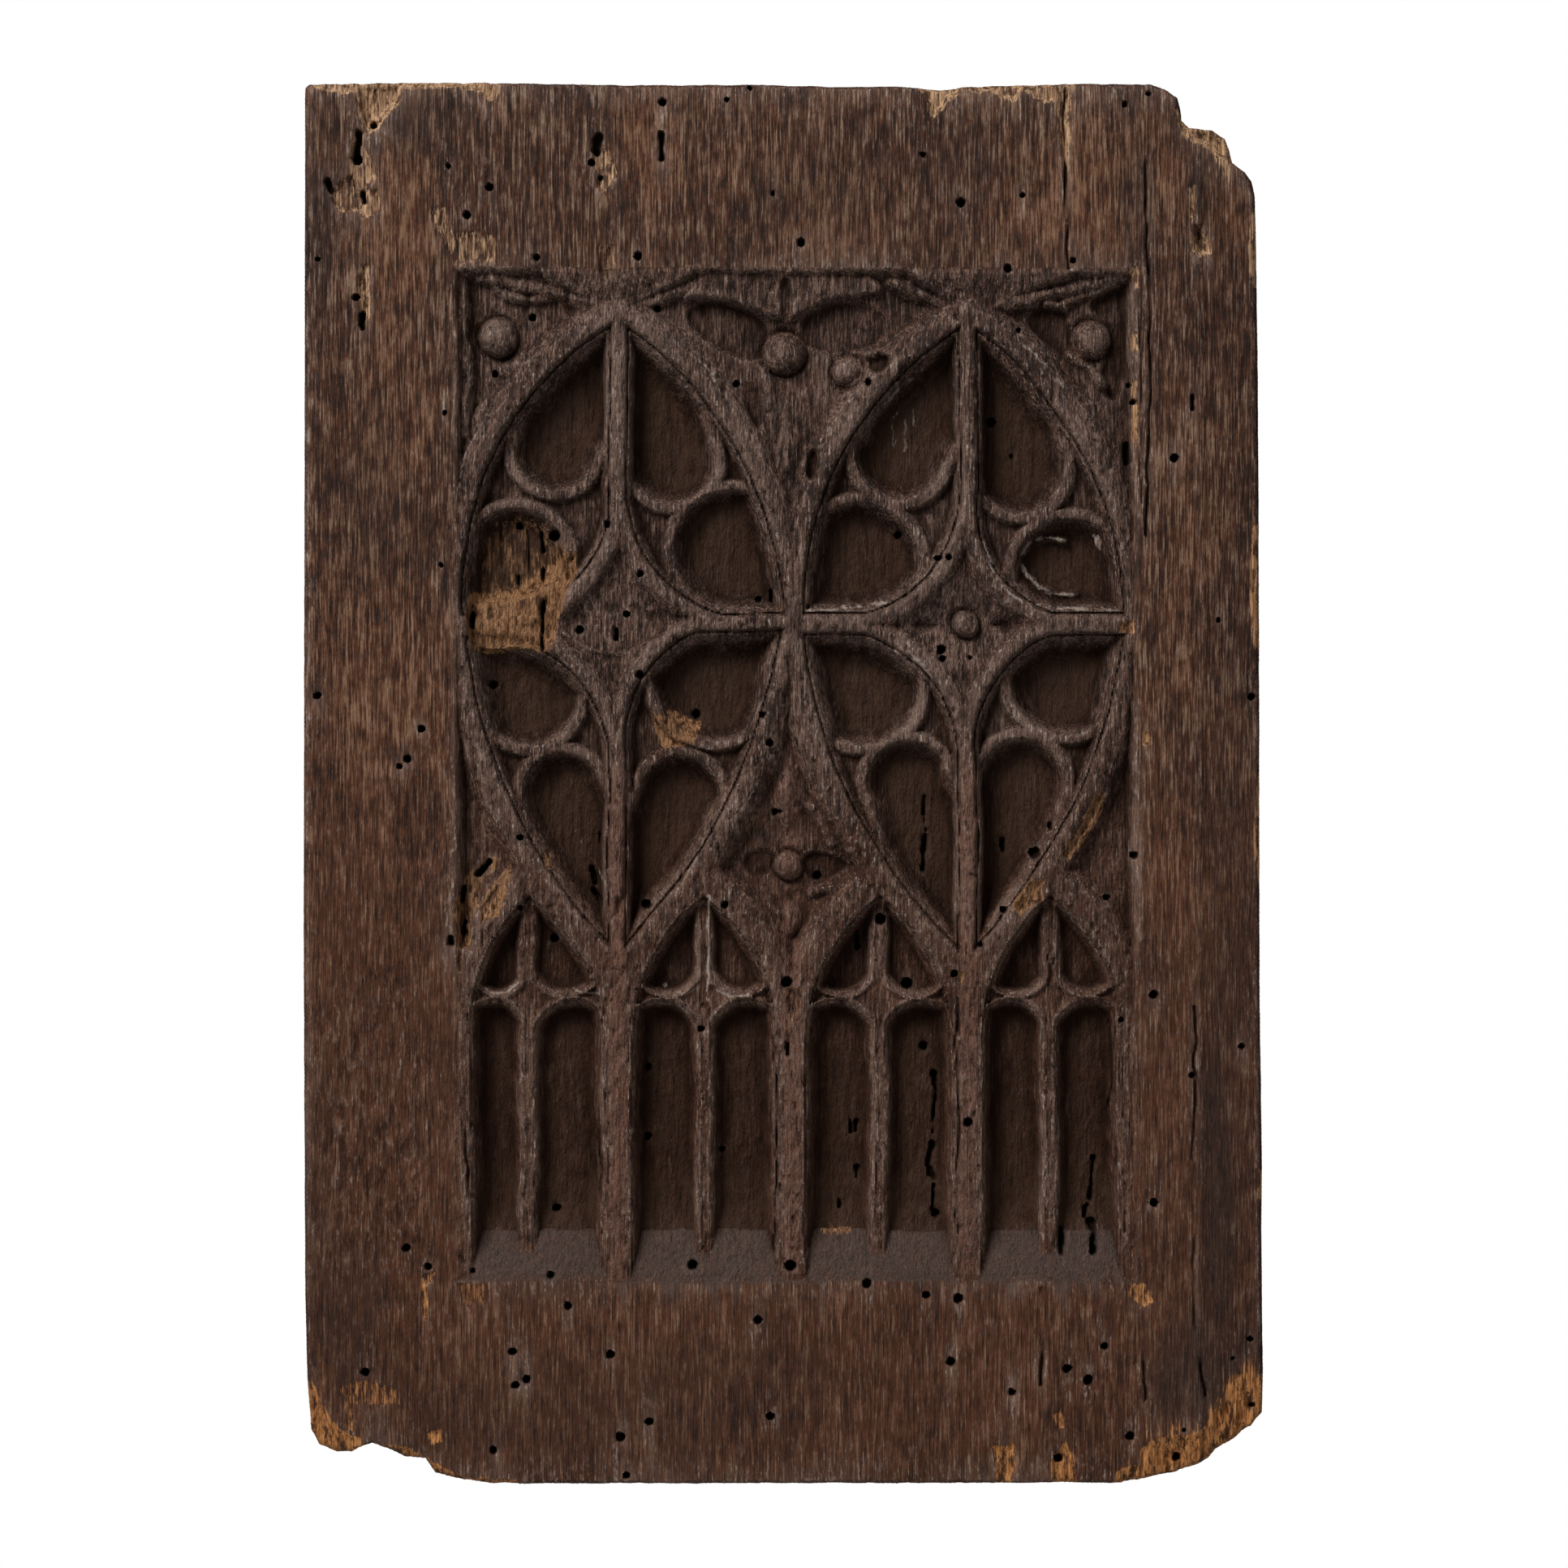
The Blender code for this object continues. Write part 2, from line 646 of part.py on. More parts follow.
def top_chip():
    """The deep chip that runs down from the top edge, widest at the edge."""
    x = -BOARD_WIDTH / 2 + TOP_CHIP_FROM_LEFT
    top = BOARD_HEIGHT / 2
    wide = TOP_CHIP_WIDTH / 2
    rim = [(x - wide, top + CLEAR), (x + wide, top + CLEAR), (x, top - TOP_CHIP_HEIGHT)]
    rim = [Vector(place) for place in rim]
    middle = Vector((x, top))
    floor = [middle.lerp(place, CHIP_FLOOR_SHARE) + Vector((0, CLEAR)) for place in rim]
    return loft("top chip", [(-CLEAR, rim), (0, rim), (TOP_CHIP_DEPTH, floor)])


def edge_wear():
    """The rubbed strip down the right edge, falling away from the face."""
    right = BOARD_WIDTH / 2
    foot = -BOARD_HEIGHT / 2 - CLEAR
    section = (
        (right - EDGE_WEAR_WIDTH, 0),
        (right, EDGE_WEAR_DEPTH),
        (right + CLEAR, EDGE_WEAR_DEPTH * (1 + CLEAR / EDGE_WEAR_WIDTH)),
        (right + CLEAR, -CLEAR),
        (right - EDGE_WEAR_WIDTH, -CLEAR),
    )
    return prism("edge wear", [(x, FRONT + depth, foot) for x, depth in section], (0, 0, -2 * foot))


def oak():
    material = bpy.data.materials.new("old oak")
    material.use_nodes = True
    shader = material.node_tree.nodes["Principled BSDF"]
    shader.inputs["Base Color"].default_value = OAK_COLOUR
    shader.inputs["Roughness"].default_value = OAK_ROUGHNESS
    shader.inputs["Metallic"].default_value = 0
    return material


def clear_scene():
    for obj in list(bpy.data.objects):
        bpy.data.objects.remove(obj, do_unlink=True)


def main():
    clear_scene()
    panel = make_board()
    panel.data.materials.append(oak())
    new_collection("carved wall panel").objects.link(panel)

    quarters = [Quarter(**sizes) for sizes in QUARTERS]
    ovals = [[q for q in quarters if q.oval == side] for side in OVAL_AXES]
    lights = [Light(index) for index in range(len(LIGHT_BARS))]

    plates = [oval_plate(f"oval {i}", group) for i, group in enumerate(ovals)]
    plates += [light.plate(f"light {i}") for i, light in enumerate(lights)]
    plates += [scoop(f"scoop {i}", *SCOOPS[i], group[0].tip) for i, group in enumerate(ovals)]

    recesses = [q.recess(f"quarter {i}") for i, q in enumerate(quarters)]
    recesses += [light.recess(f"light recess {i}") for i, light in enumerate(lights)]
    recesses += [star_recess(f"star {i}", group) for i, group in enumerate(ovals)]

    pockets = []
    for i, q in enumerate(quarters):
        pockets.append(q.hollow(f"tear {i}", q.tear, q.tear_radius, q.tip))
        pockets.append(q.hollow(f"foil {i}", q.foil, q.foil_radius, q.arm))
    for i, light in enumerate(lights):
        for side in light.edges:
            pockets.append(light.drop(f"light drop {i} {side}", side))
            pockets.append(light.panel(f"light panel {i} {side}", side))

    petals = [petal(f"petal {i}", *sizes, SPANDREL_DEPTH) for i, sizes in enumerate(SPANDREL_PETALS)]
    petals += [petal(f"star petal {i}", *sizes, STAR_DEPTH) for i, sizes in enumerate(STAR_PETALS)]
    raised = [ball(f"ball {i}", *sizes) for i, sizes in enumerate(BALLS)]
    raised += [leaf(f"leaf {i}", *sizes) for i, sizes in enumerate(LEAVES)]

    broken = [loss(f"loss {i}", *sizes) for i, sizes in enumerate(LOSSES)]
    broken += [top_chip(), edge_wear()]

    apply_boolean(panel, "DIFFERENCE", tools_for("field cutters", [field_cutter()]))
    apply_boolean(panel, "UNION", tools_for("plates", plates))
    apply_boolean(panel, "DIFFERENCE", tools_for("recess cutters", recesses))
    apply_boolean(panel, "DIFFERENCE", tools_for("pocket cutters", pockets))
    apply_boolean(panel, "DIFFERENCE", tools_for("petal cutters", petals))
    apply_boolean(panel, "UNION", tools_for("balls and leaves", raised))
    apply_boolean(panel, "DIFFERENCE", tools_for("broken places", broken))


main()
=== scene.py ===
import math

import bpy
import bmesh
import numpy as np
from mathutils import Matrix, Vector
from mathutils.kdtree import KDTree


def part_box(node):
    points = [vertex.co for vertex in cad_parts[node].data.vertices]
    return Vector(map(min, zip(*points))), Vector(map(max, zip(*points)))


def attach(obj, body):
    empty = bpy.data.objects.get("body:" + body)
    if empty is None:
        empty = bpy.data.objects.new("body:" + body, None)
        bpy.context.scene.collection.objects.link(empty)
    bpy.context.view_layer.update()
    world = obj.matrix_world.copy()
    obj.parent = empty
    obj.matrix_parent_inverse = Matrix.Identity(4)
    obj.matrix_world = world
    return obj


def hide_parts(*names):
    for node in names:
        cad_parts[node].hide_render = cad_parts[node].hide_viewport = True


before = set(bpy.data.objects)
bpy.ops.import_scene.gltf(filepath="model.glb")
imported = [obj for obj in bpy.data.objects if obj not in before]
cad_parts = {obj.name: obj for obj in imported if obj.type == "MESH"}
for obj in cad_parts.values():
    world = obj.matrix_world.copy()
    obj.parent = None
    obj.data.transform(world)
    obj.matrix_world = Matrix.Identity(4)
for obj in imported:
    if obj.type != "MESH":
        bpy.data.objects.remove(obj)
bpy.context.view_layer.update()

# The carving is worked out in millimetres on the front of the board, seen from in front: x to the
# right, z up, and how deep the surface lies under the board's face.
low, high = (corner * 1000 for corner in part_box("carved_panel"))
faceY = low.y
backY = high.y

board = {
    "fieldLeft": 41,        # plain wood left of the sunk field
    "fieldFoot": 55,        # and under it
    "fieldWidth": 184,
    "fieldHeight": 274.6,
    "gridStep": 0.45,       # spacing of the surface before it is thinned
    "quickStep": 1.2,
    "outlineStep": 1.2,
    "mostTriangles": 190000,
}
fieldLeft = low.x + board["fieldLeft"]
fieldFoot = low.z + board["fieldFoot"]
fieldRight = fieldLeft + board["fieldWidth"]
fieldTop = fieldFoot + board["fieldHeight"]

# The photograph's middle, and how many of its pixels make a millimetre on the board's face
photo = {"middleAcross": 965.5, "middleDown": 964.5, "pixelsPerMm": 4.56}


def fromPhoto(across, down):
    scale = photo["pixelsPerMm"]
    return (across - photo["middleAcross"]) / scale, (photo["middleDown"] - down) / scale


def traced(path):
    return [fromPhoto(*place) for place in path]


def fieldX(share):
    return fieldLeft + share / 1000 * board["fieldWidth"]


def fieldZ(share):
    return fieldFoot + share / 1000 * board["fieldHeight"]


def ofWidth(share):
    return share / 1000 * board["fieldWidth"]


def smooth(value):
    value = np.clip(value, 0, 1)
    return value * value * (3 - 2 * value)


# One fixed table of chance values serves all the noise, so each run carves the same board
chance = np.random.default_rng(1480).random((256, 256))


def noise(u, v, shift=0):
    column, row = np.floor(u).astype(int), np.floor(v).astype(int)
    across, along = smooth(u - column), smooth(v - row)
    column, row = column + 37 * shift, row + 91 * shift

    def corner(i, j):
        return chance[(column + i) % 256, (row + j) % 256]

    lower = corner(0, 0) * (1 - across) + corner(1, 0) * across
    upper = corner(0, 1) * (1 - across) + corner(1, 1) * across
    return (lower * (1 - along) + upper * along) * 2 - 1


def layered(u, v, layers, shift=0):
    total, strength, weight = 0, 1, 0
    for layer in range(layers):
        total = total + strength * noise(u * 2**layer, v * 2**layer, shift + layer)
        weight += strength
        strength *= 0.55
    return total / weight


def segmentDistance(x, z, start, end):
    alongX, alongZ = end[0] - start[0], end[1] - start[1]
    length = max(alongX**2 + alongZ**2, 1e-9)
    share = np.clip(((x - start[0]) * alongX + (z - start[1]) * alongZ) / length, 0, 1)
    return np.hypot(x - start[0] - share * alongX, z - start[1] - share * alongZ)


def pathDistance(x, z, path):
    return np.minimum.reduce([segmentDistance(x, z, a, b) for a, b in zip(path, path[1:])])


# How far inside a closed outline a place is, less than nothing outside it
def insideBy(x, z, path):
    inside = np.zeros(x.shape, bool)
    for start, end in zip(path, path[1:] + path[:1]):
        rising = end[1] - start[1] or 1e-9
        crossing = (start[1] > z) != (end[1] > z)
        inside ^= crossing & (x < (end[0] - start[0]) * (z - start[1]) / rising + start[0])
    distance = pathDistance(x, z, path + path[:1])
    return np.where(inside, distance, -distance)


step = board["gridStep"]
columns = int(round((high.x - low.x) / step)) + 1
rows = int(round((high.z - low.z) / step)) + 1
lineX = np.linspace(low.x, high.x, columns)
lineZ = np.linspace(low.z, high.z, rows)
trueX, trueZ = np.meshgrid(lineX, lineZ)


# The part of the grid round a path
def near(path, reach):
    places = np.array(path)
    least, most = places.min(axis=0) - reach, places.max(axis=0) + reach
    across = slice(max(np.searchsorted(lineX, least[0]), 0), np.searchsorted(lineX, most[0]))
    along = slice(max(np.searchsorted(lineZ, least[1]), 0), np.searchsorted(lineZ, most[1]))
    return along, across


# The hand that carved it wandered: the pattern is laid out on a slightly warped board
wander = {"wide": 0.5, "wideEvery": 17, "fine": 0.16, "fineEvery": 4}
x = (
    trueX
    + wander["wide"] * noise(trueX / wander["wideEvery"], trueZ / wander["wideEvery"], 1)
    + wander["fine"] * noise(trueX / wander["fineEvery"], trueZ / wander["fineEvery"], 2)
)
z = (
    trueZ
    + wander["wide"] * noise(trueX / wander["wideEvery"], trueZ / wander["wideEvery"], 3)
    + wander["fine"] * noise(trueX / wander["fineEvery"], trueZ / wander["fineEvery"], 4)
)


# Middle and radius of the circle through two places whose arc stands out away from inner
def arcThrough(start, end, bulge, inner):
    start, end, inner = np.array(start), np.array(end), np.array(inner)
    chord = end - start
    length = math.hypot(*chord)
    radius = length**2 / (8 * bulge) + bulge / 2
    out = np.array((-chord[1], chord[0])) / length
    if out @ (inner - start) > 0:
        out = -out
    return (start + end) / 2 + out * (bulge - radius), radius


def insideCircle(circle):
    middle, radius = circle
    return radius - np.hypot(x - middle[0], z - middle[1])


# How far inside a round hollow whose sides run on towards a point
def insideDrop(place, radius, towards):
    alongX, alongZ = towards[0] - place[0], towards[1] - place[1]
    length = math.hypot(alongX, alongZ)
    ahead = ((x - place[0]) * alongX + (z - place[1]) * alongZ) / length
    aside = np.abs((x - place[0]) * alongZ - (z - place[1]) * alongX) / length
    return radius - np.where(ahead > 0, aside, np.hypot(ahead, aside))


# How the wood falls away, in millimetres: out from a rib's middle line, then down into a pocket from
# its rim, down the outer side of a rib into a spandrel, and in from the field's own edge
mouldings = {
    "rib": ((0, 0.4), (1.1, 0.6), (1.8, 1.1), (2.3, 3.0), (2.8, 2.0), (3.5, 3.1), (4.4, 3.7)),
    "lightRib": ((0, 0.5), (2.4, 0.7), (3.3, 1.1), (3.7, 2.9), (4.1, 2.2), (4.9, 2.9), (5.6, 3.7)),
    "basin": ((0, 3.4), (0.6, 4.2), (2.0, 6.6), (3.4, 7.9), (4.5, 8.5), (4.9, 8.6), (5.2, 9.1), (7, 9.3)),
    "pocket": ((0, 3.4), (0.6, 4.4), (1.7, 6.6), (2.4, 7.3), (2.7, 7.9), (4.6, 8.3)),
    "outer": ((0, 0.4), (2.2, 0.8), (4.2, 1.9), (5.8, 3.6), (7.2, 4.9), (8.8, 5.2)),
    "edge": ((0, 0), (0.6, 1.0), (2.2, 5.2), (3.8, 12)),
    "star": ((0, 0.4), (1.5, 0.7), (2.4, 1.4), (3.4, 2.3)),
    "pocketInset": 3.8,     # from a rib's middle line to a pocket's rim
    "lightInset": 4.6,
    "shaftInset": 3.4,
    "shaftSteep": 2.3,      # a basin's wall is this much steeper beside the straight shaft
    "cuspHalf": 0.9,
    "lightCuspHalf": 1.1,
    "barHalf": 1.7,
    "starDish": 2.2,
    "starDishReach": 11,
    "blend": 6,             # one moulding turns into the next over this far
    # The small corners between a drop, a round and the ribs: how far in from the rib and clear of the
    # hollows they start, their least depth, how much more they sink, and over what distance
    "eyelet": (3.4, 0.6, 3.7, 2.2, 1.6),
    "lightEyelet": (4.2, 0.1, 3.6, 0.7, 1.4),
    "dropDepth": 6.9,
    "lip": 0.9,             # raised edge round each hollow of a light
    "lipOut": 1.0,
    "lipPastRim": 1.5,
    "lipFromBar": 1,
    "sillRise": 13.7,       # the sill slopes up this far
    "sillDepth": 6.2,       # and is this deep where it meets the lights' floors
    "sillStep": 0.5,
    "faceWorn": 0.4,        # the ribs' tops lie this far under the board's face
    "leftSoft": 0.8,        # the field's left and top edges slope more than its right one
    "topSoft": 0.5,
    "floorSlope": 0.22,
}


def falls(profile, distance):
    across, down = np.array(mouldings[profile]).T
    return np.interp(distance, across, down)


# Thousandths of the field's width and height: each oval's four quarters, out from its shaft. The
# crest is the oval's own arc, the star's arc runs from the shoulder to the arm, and a drop (tear) and
# a round (foil) are sunk between them.
ovals = {
    "axes": {"left": 240, "right": 755},
    "ends": {"tip": 956, "foot": 311},
    "quarters": (
        ("left", "tip", (3, 649), 783, 78, 81, (148, 821, 71), (86, 709, 88)),
        ("left", "tip", (496, 649), 791, 86, 67, (319, 811, 74), (407, 722, 96)),
        ("left", "foot", (4, 643), 527, 64, 50, (157, 483, 67), (105, 582, 88)),
        ("left", "foot", (496, 649), 519, 93, 45, (333, 477, 69), (381, 596, 100)),
        ("right", "tip", (500, 649), 783, 80, 72, (655, 815, 74), (594, 706, 100)),
        ("right", "tip", (1000, 649), 783, 89, 61, (831, 803, 76), (902, 699, 88)),
        ("right", "foot", (500, 645), 519, 76, 55, (667, 493, 69), (597, 587, 95)),
        ("right", "foot", (1000, 645), 519, 84, 47, (835, 493, 71), (900, 595, 92)),
    ),
}


# Depth inside the ovals, and how far inside them each place is
def carveOvals():
    depth = np.zeros(x.shape)
    inside = {name: {} for name in ovals["axes"]}
    stars = {name: [] for name in ovals["axes"]}
    for oval, end, arm, shoulder, starBulge, crestBulge, tear, foil in ovals["quarters"]:
        axis = fieldX(ovals["axes"][oval])
        tip = (axis, fieldZ(ovals["ends"][end]))
        shoulderPlace = (axis, fieldZ(shoulder))
        armPlace = (fieldX(arm[0]), fieldZ(arm[1]))
        tearPlace = (fieldX(tear[0]), fieldZ(tear[1]))
        foilPlace = (fieldX(foil[0]), fieldZ(foil[1]))
        middle = ((tearPlace[0] + foilPlace[0]) / 2, (tearPlace[1] + foilPlace[1]) / 2)
        out = math.copysign(1, tip[0] - middle[0])
        up = math.copysign(1, tip[1] - shoulderPlace[1])

        crest = insideCircle(arcThrough(tip, armPlace, ofWidth(crestBulge), middle))
        star = insideCircle(arcThrough(shoulderPlace, armPlace, ofWidth(starBulge), middle))
        shaft = (tip[0] - x) * out
        pastShoulder = smooth((z - shoulderPlace[1]) * up / mouldings["blend"] + 0.5)
        inner = shaft * pastShoulder + np.minimum(star, np.maximum(shaft, star)) * (1 - pastShoulder)
        own = (z - armPlace[1]) * up
        ribs = np.minimum(np.minimum(crest, inner), own)
        inset = mouldings["pocketInset"]
        besideShaft = (shaft - mouldings["shaftInset"]) * mouldings["shaftSteep"]
        besideStar = np.maximum(star - inset, np.minimum(besideShaft, star - inset))
        innerWall = besideShaft * pastShoulder + besideStar * (1 - pastShoulder)
        walls = np.minimum(np.minimum(crest, own) - inset, innerWall)
        depth = np.maximum(depth, np.where(ribs > 0, falls("rib", ribs), 0))

        rims = []
        for place, radius, towards in ((tearPlace, tear[2], tip), (foilPlace, foil[2], armPlace)):
            drop = insideDrop(place, ofWidth(radius), towards)
            rim = np.minimum(walls, drop - mouldings["cuspHalf"])
            depth = np.maximum(depth, np.where(rim > 0, falls("basin", rim), 0))
            rims.append(drop)
        inward, clear, least, more, slope = mouldings["eyelet"]
        between = np.minimum(ribs - inward, -np.maximum(*rims) - clear)
        depth = np.maximum(depth, np.where(between > 0, least + more * smooth(between / slope), 0))

        half = inside[oval].setdefault(end, [])
        half.append((crest, (z - armPlace[1]) * up))
        stars[oval].append((-star, armPlace, shoulderPlace, up))

    outlines = []
    for oval, halves in inside.items():
        tipHalf = np.minimum(*[crest for crest, level in halves["tip"]])
        footHalf = np.minimum(*[crest for crest, level in halves["foot"]])
        above = halves["tip"][0][1] > 0
        outlines.append(np.where(above, tipHalf, footHalf))
        reach = np.minimum.reduce([distance for distance, *rest in stars[oval]])
        arms = [arm for distance, arm, shoulder, up in stars[oval]]
        shoulders = [shoulder for distance, arm, shoulder, up in stars[oval]]
        boxed = (
            (z < max(s[1] for s in shoulders)) & (z > min(s[1] for s in shoulders))
            & (x > min(a[0] for a in arms)) & (x < max(a[0] for a in arms))
        )
        dish = mouldings["starDish"] * smooth(reach / mouldings["starDishReach"])
        depth = np.maximum(depth, np.where(boxed & (reach > 0), falls("star", reach) + dish, 0))
    return depth, outlines


# The shafts, and the bar in the middle of each light, in thousandths of the field's width
lights = {
    "shafts": (4, 240, 496, 755, 1000),
    "bars": (107, 367, 625, 876),
    "head": 396,            # heights, in thousandths of the field's
    "bar": 280,
    "spring": 224,
    "bulge": 37,
    "dropShare": 0.84,
}


def carveLights():
    depth = np.zeros(x.shape)
    outlines = []
    for index, barShare in enumerate(lights["bars"]):
        bar = fieldX(barShare)
        apex = (bar, fieldZ(lights["head"]))
        spring = fieldZ(lights["spring"])
        edges = [fieldX(lights["shafts"][index]), fieldX(lights["shafts"][index + 1])]
        circles = [
            insideCircle(arcThrough(apex, (edge, spring), ofWidth(lights["bulge"]), (bar, spring)))
            for edge in edges
        ]
        straight = np.minimum(x - edges[0], edges[1] - x)
        arched = smooth((z - spring) / mouldings["blend"] + 0.5)
        ribs = straight * (1 - arched) + np.minimum(*circles) * arched
        outlines.append(np.where(z > fieldFoot - 1, ribs, -10))
        depth = np.maximum(depth, np.where(ribs > 0, falls("lightRib", ribs), 0))

        barTop = fieldZ(lights["bar"])
        inset = ribs - mouldings["lightInset"]
        for side, edge in ((-1, edges[0]), (1, edges[1])):
            half = abs(edge - bar) / 2
            radius = half * lights["dropShare"]
            onSide = (x - bar) * side
            dropPlace = ((edge + bar) / 2 - side * (half - radius), barTop + radius)
            drop = insideDrop(dropPlace, radius, apex)
            head = insideDrop(((edge + bar) / 2, barTop - half), half, ((edge + bar) / 2, fieldFoot))
            for hollow, most in ((drop, mouldings["dropDepth"]), (head, math.inf)):
                rim = np.minimum(inset, hollow - mouldings["lightCuspHalf"])
                rim = np.minimum(rim, onSide - mouldings["barHalf"])
                depth = np.maximum(depth, np.where(rim > 0, np.minimum(falls("pocket", rim), most), 0))
                lip = smooth(1 - np.abs(rim + mouldings["lipOut"]) / mouldings["lipOut"])
                onRib = (inset > -mouldings["lipPastRim"]) & (onSide > mouldings["lipFromBar"])
                depth = depth - mouldings["lip"] * lip * (onRib & (z < apex[1]))
            inward, clear, least, more, slope = mouldings["lightEyelet"]
            between = np.minimum(np.minimum(ribs - inward, onSide - half), -np.maximum(drop, head) - clear)
            depth = np.maximum(depth, np.where(between > 0, least + more * smooth(between / slope), 0))
    return depth, outlines


# What stands in the spandrels, in thousandths of the field: balls, raised leaves with how far under
# the face their ridge lies in millimetres, and sunk petals with how far they go into the ground
spandrels = {
    "ground": 5.2,
    "balls": (              # place, radius, and how deep the top lies in millimetres
        (62, 932, 30, 1.2),
        (485, 916, 33, 0.9),
        (936, 930, 30, 1.6),
        (577, 898, 24, 2.6),
        (491, 409, 22, 1.8),
        (751, 649, 20, 1.2),
    ),
    "leaves": (
        ((486, 893), (494, 740), 44, 2.8),
        ((490, 517), (492, 436), 38, 2.6),
        ((494, 330), (492, 380), 34, 2.2),
    ),
    "petals": (
        ((732, 648), (664, 648), 22, 3.4, 2.4),
        ((770, 648), (838, 648), 22, 3.4, 2.4),
    ),
    "scoops": ((66, 410, "left"), (628, 990, "right")),
    "scoopEdge": 0.4,
    "scoopTip": 2.8,
    "scoopSide": 1.1,
    "petalRim": 0.3,        # a petal's rim stands this far over the ground
    "leafFoot": 2,
    "swell": 0.8,
    "groove": 0.8,          # cut round each ball
    "grooveWide": 1.8,
}


# Where a leaf or petal lies, and how far over it its ridge stands there: 1 on the ridge
def lensShape(root, tip, halfWidth):
    start = (fieldX(root[0]), fieldZ(root[1]))
    end = (fieldX(tip[0]), fieldZ(tip[1]))
    alongX, alongZ = end[0] - start[0], end[1] - start[1]
    length = math.hypot(alongX, alongZ)
    share = ((x - start[0]) * alongX + (z - start[1]) * alongZ) / length**2
    aside = np.abs((x - start[0]) * alongZ - (z - start[1]) * alongX) / length
    swell = np.sin(math.pi * np.clip(share, 0, 1)) ** spandrels["swell"]
    width = np.maximum(ofWidth(halfWidth) * swell, 1e-6)
    within = (share > 0) & (share < 1) & (aside < width)
    return within, swell, 1 - np.clip(aside / width, 0, 1)


def carveSpandrels(depth):
    for root, tip, halfWidth, sunk, ground in spandrels["petals"]:
        within, swell, rise = lensShape(root, tip, halfWidth)
        hollow = ground - spandrels["petalRim"] + sunk * swell * rise
        depth = np.where(within, np.maximum(depth, hollow), depth)
    foot = spandrels["ground"] + spandrels["leafFoot"]
    for root, tip, halfWidth, ridge in spandrels["leaves"]:
        within, swell, rise = lensShape(root, tip, halfWidth)
        crest = foot + (ridge - foot) * swell
        depth = np.where(within, np.minimum(depth, foot + (crest - foot) * rise), depth)
    for u, v, size, top in spandrels["balls"]:
        radius = ofWidth(size)
        distance = np.hypot(x - fieldX(u), z - fieldZ(v))
        groove = smooth((radius + spandrels["grooveWide"] - distance) / spandrels["grooveWide"])
        depth = depth + spandrels["groove"] * groove * (distance > radius)
        dome = top + radius - np.sqrt(np.clip(radius**2 - distance**2, 0, None))
        depth = np.where(distance < radius, np.minimum(depth, dome), depth)
    return depth


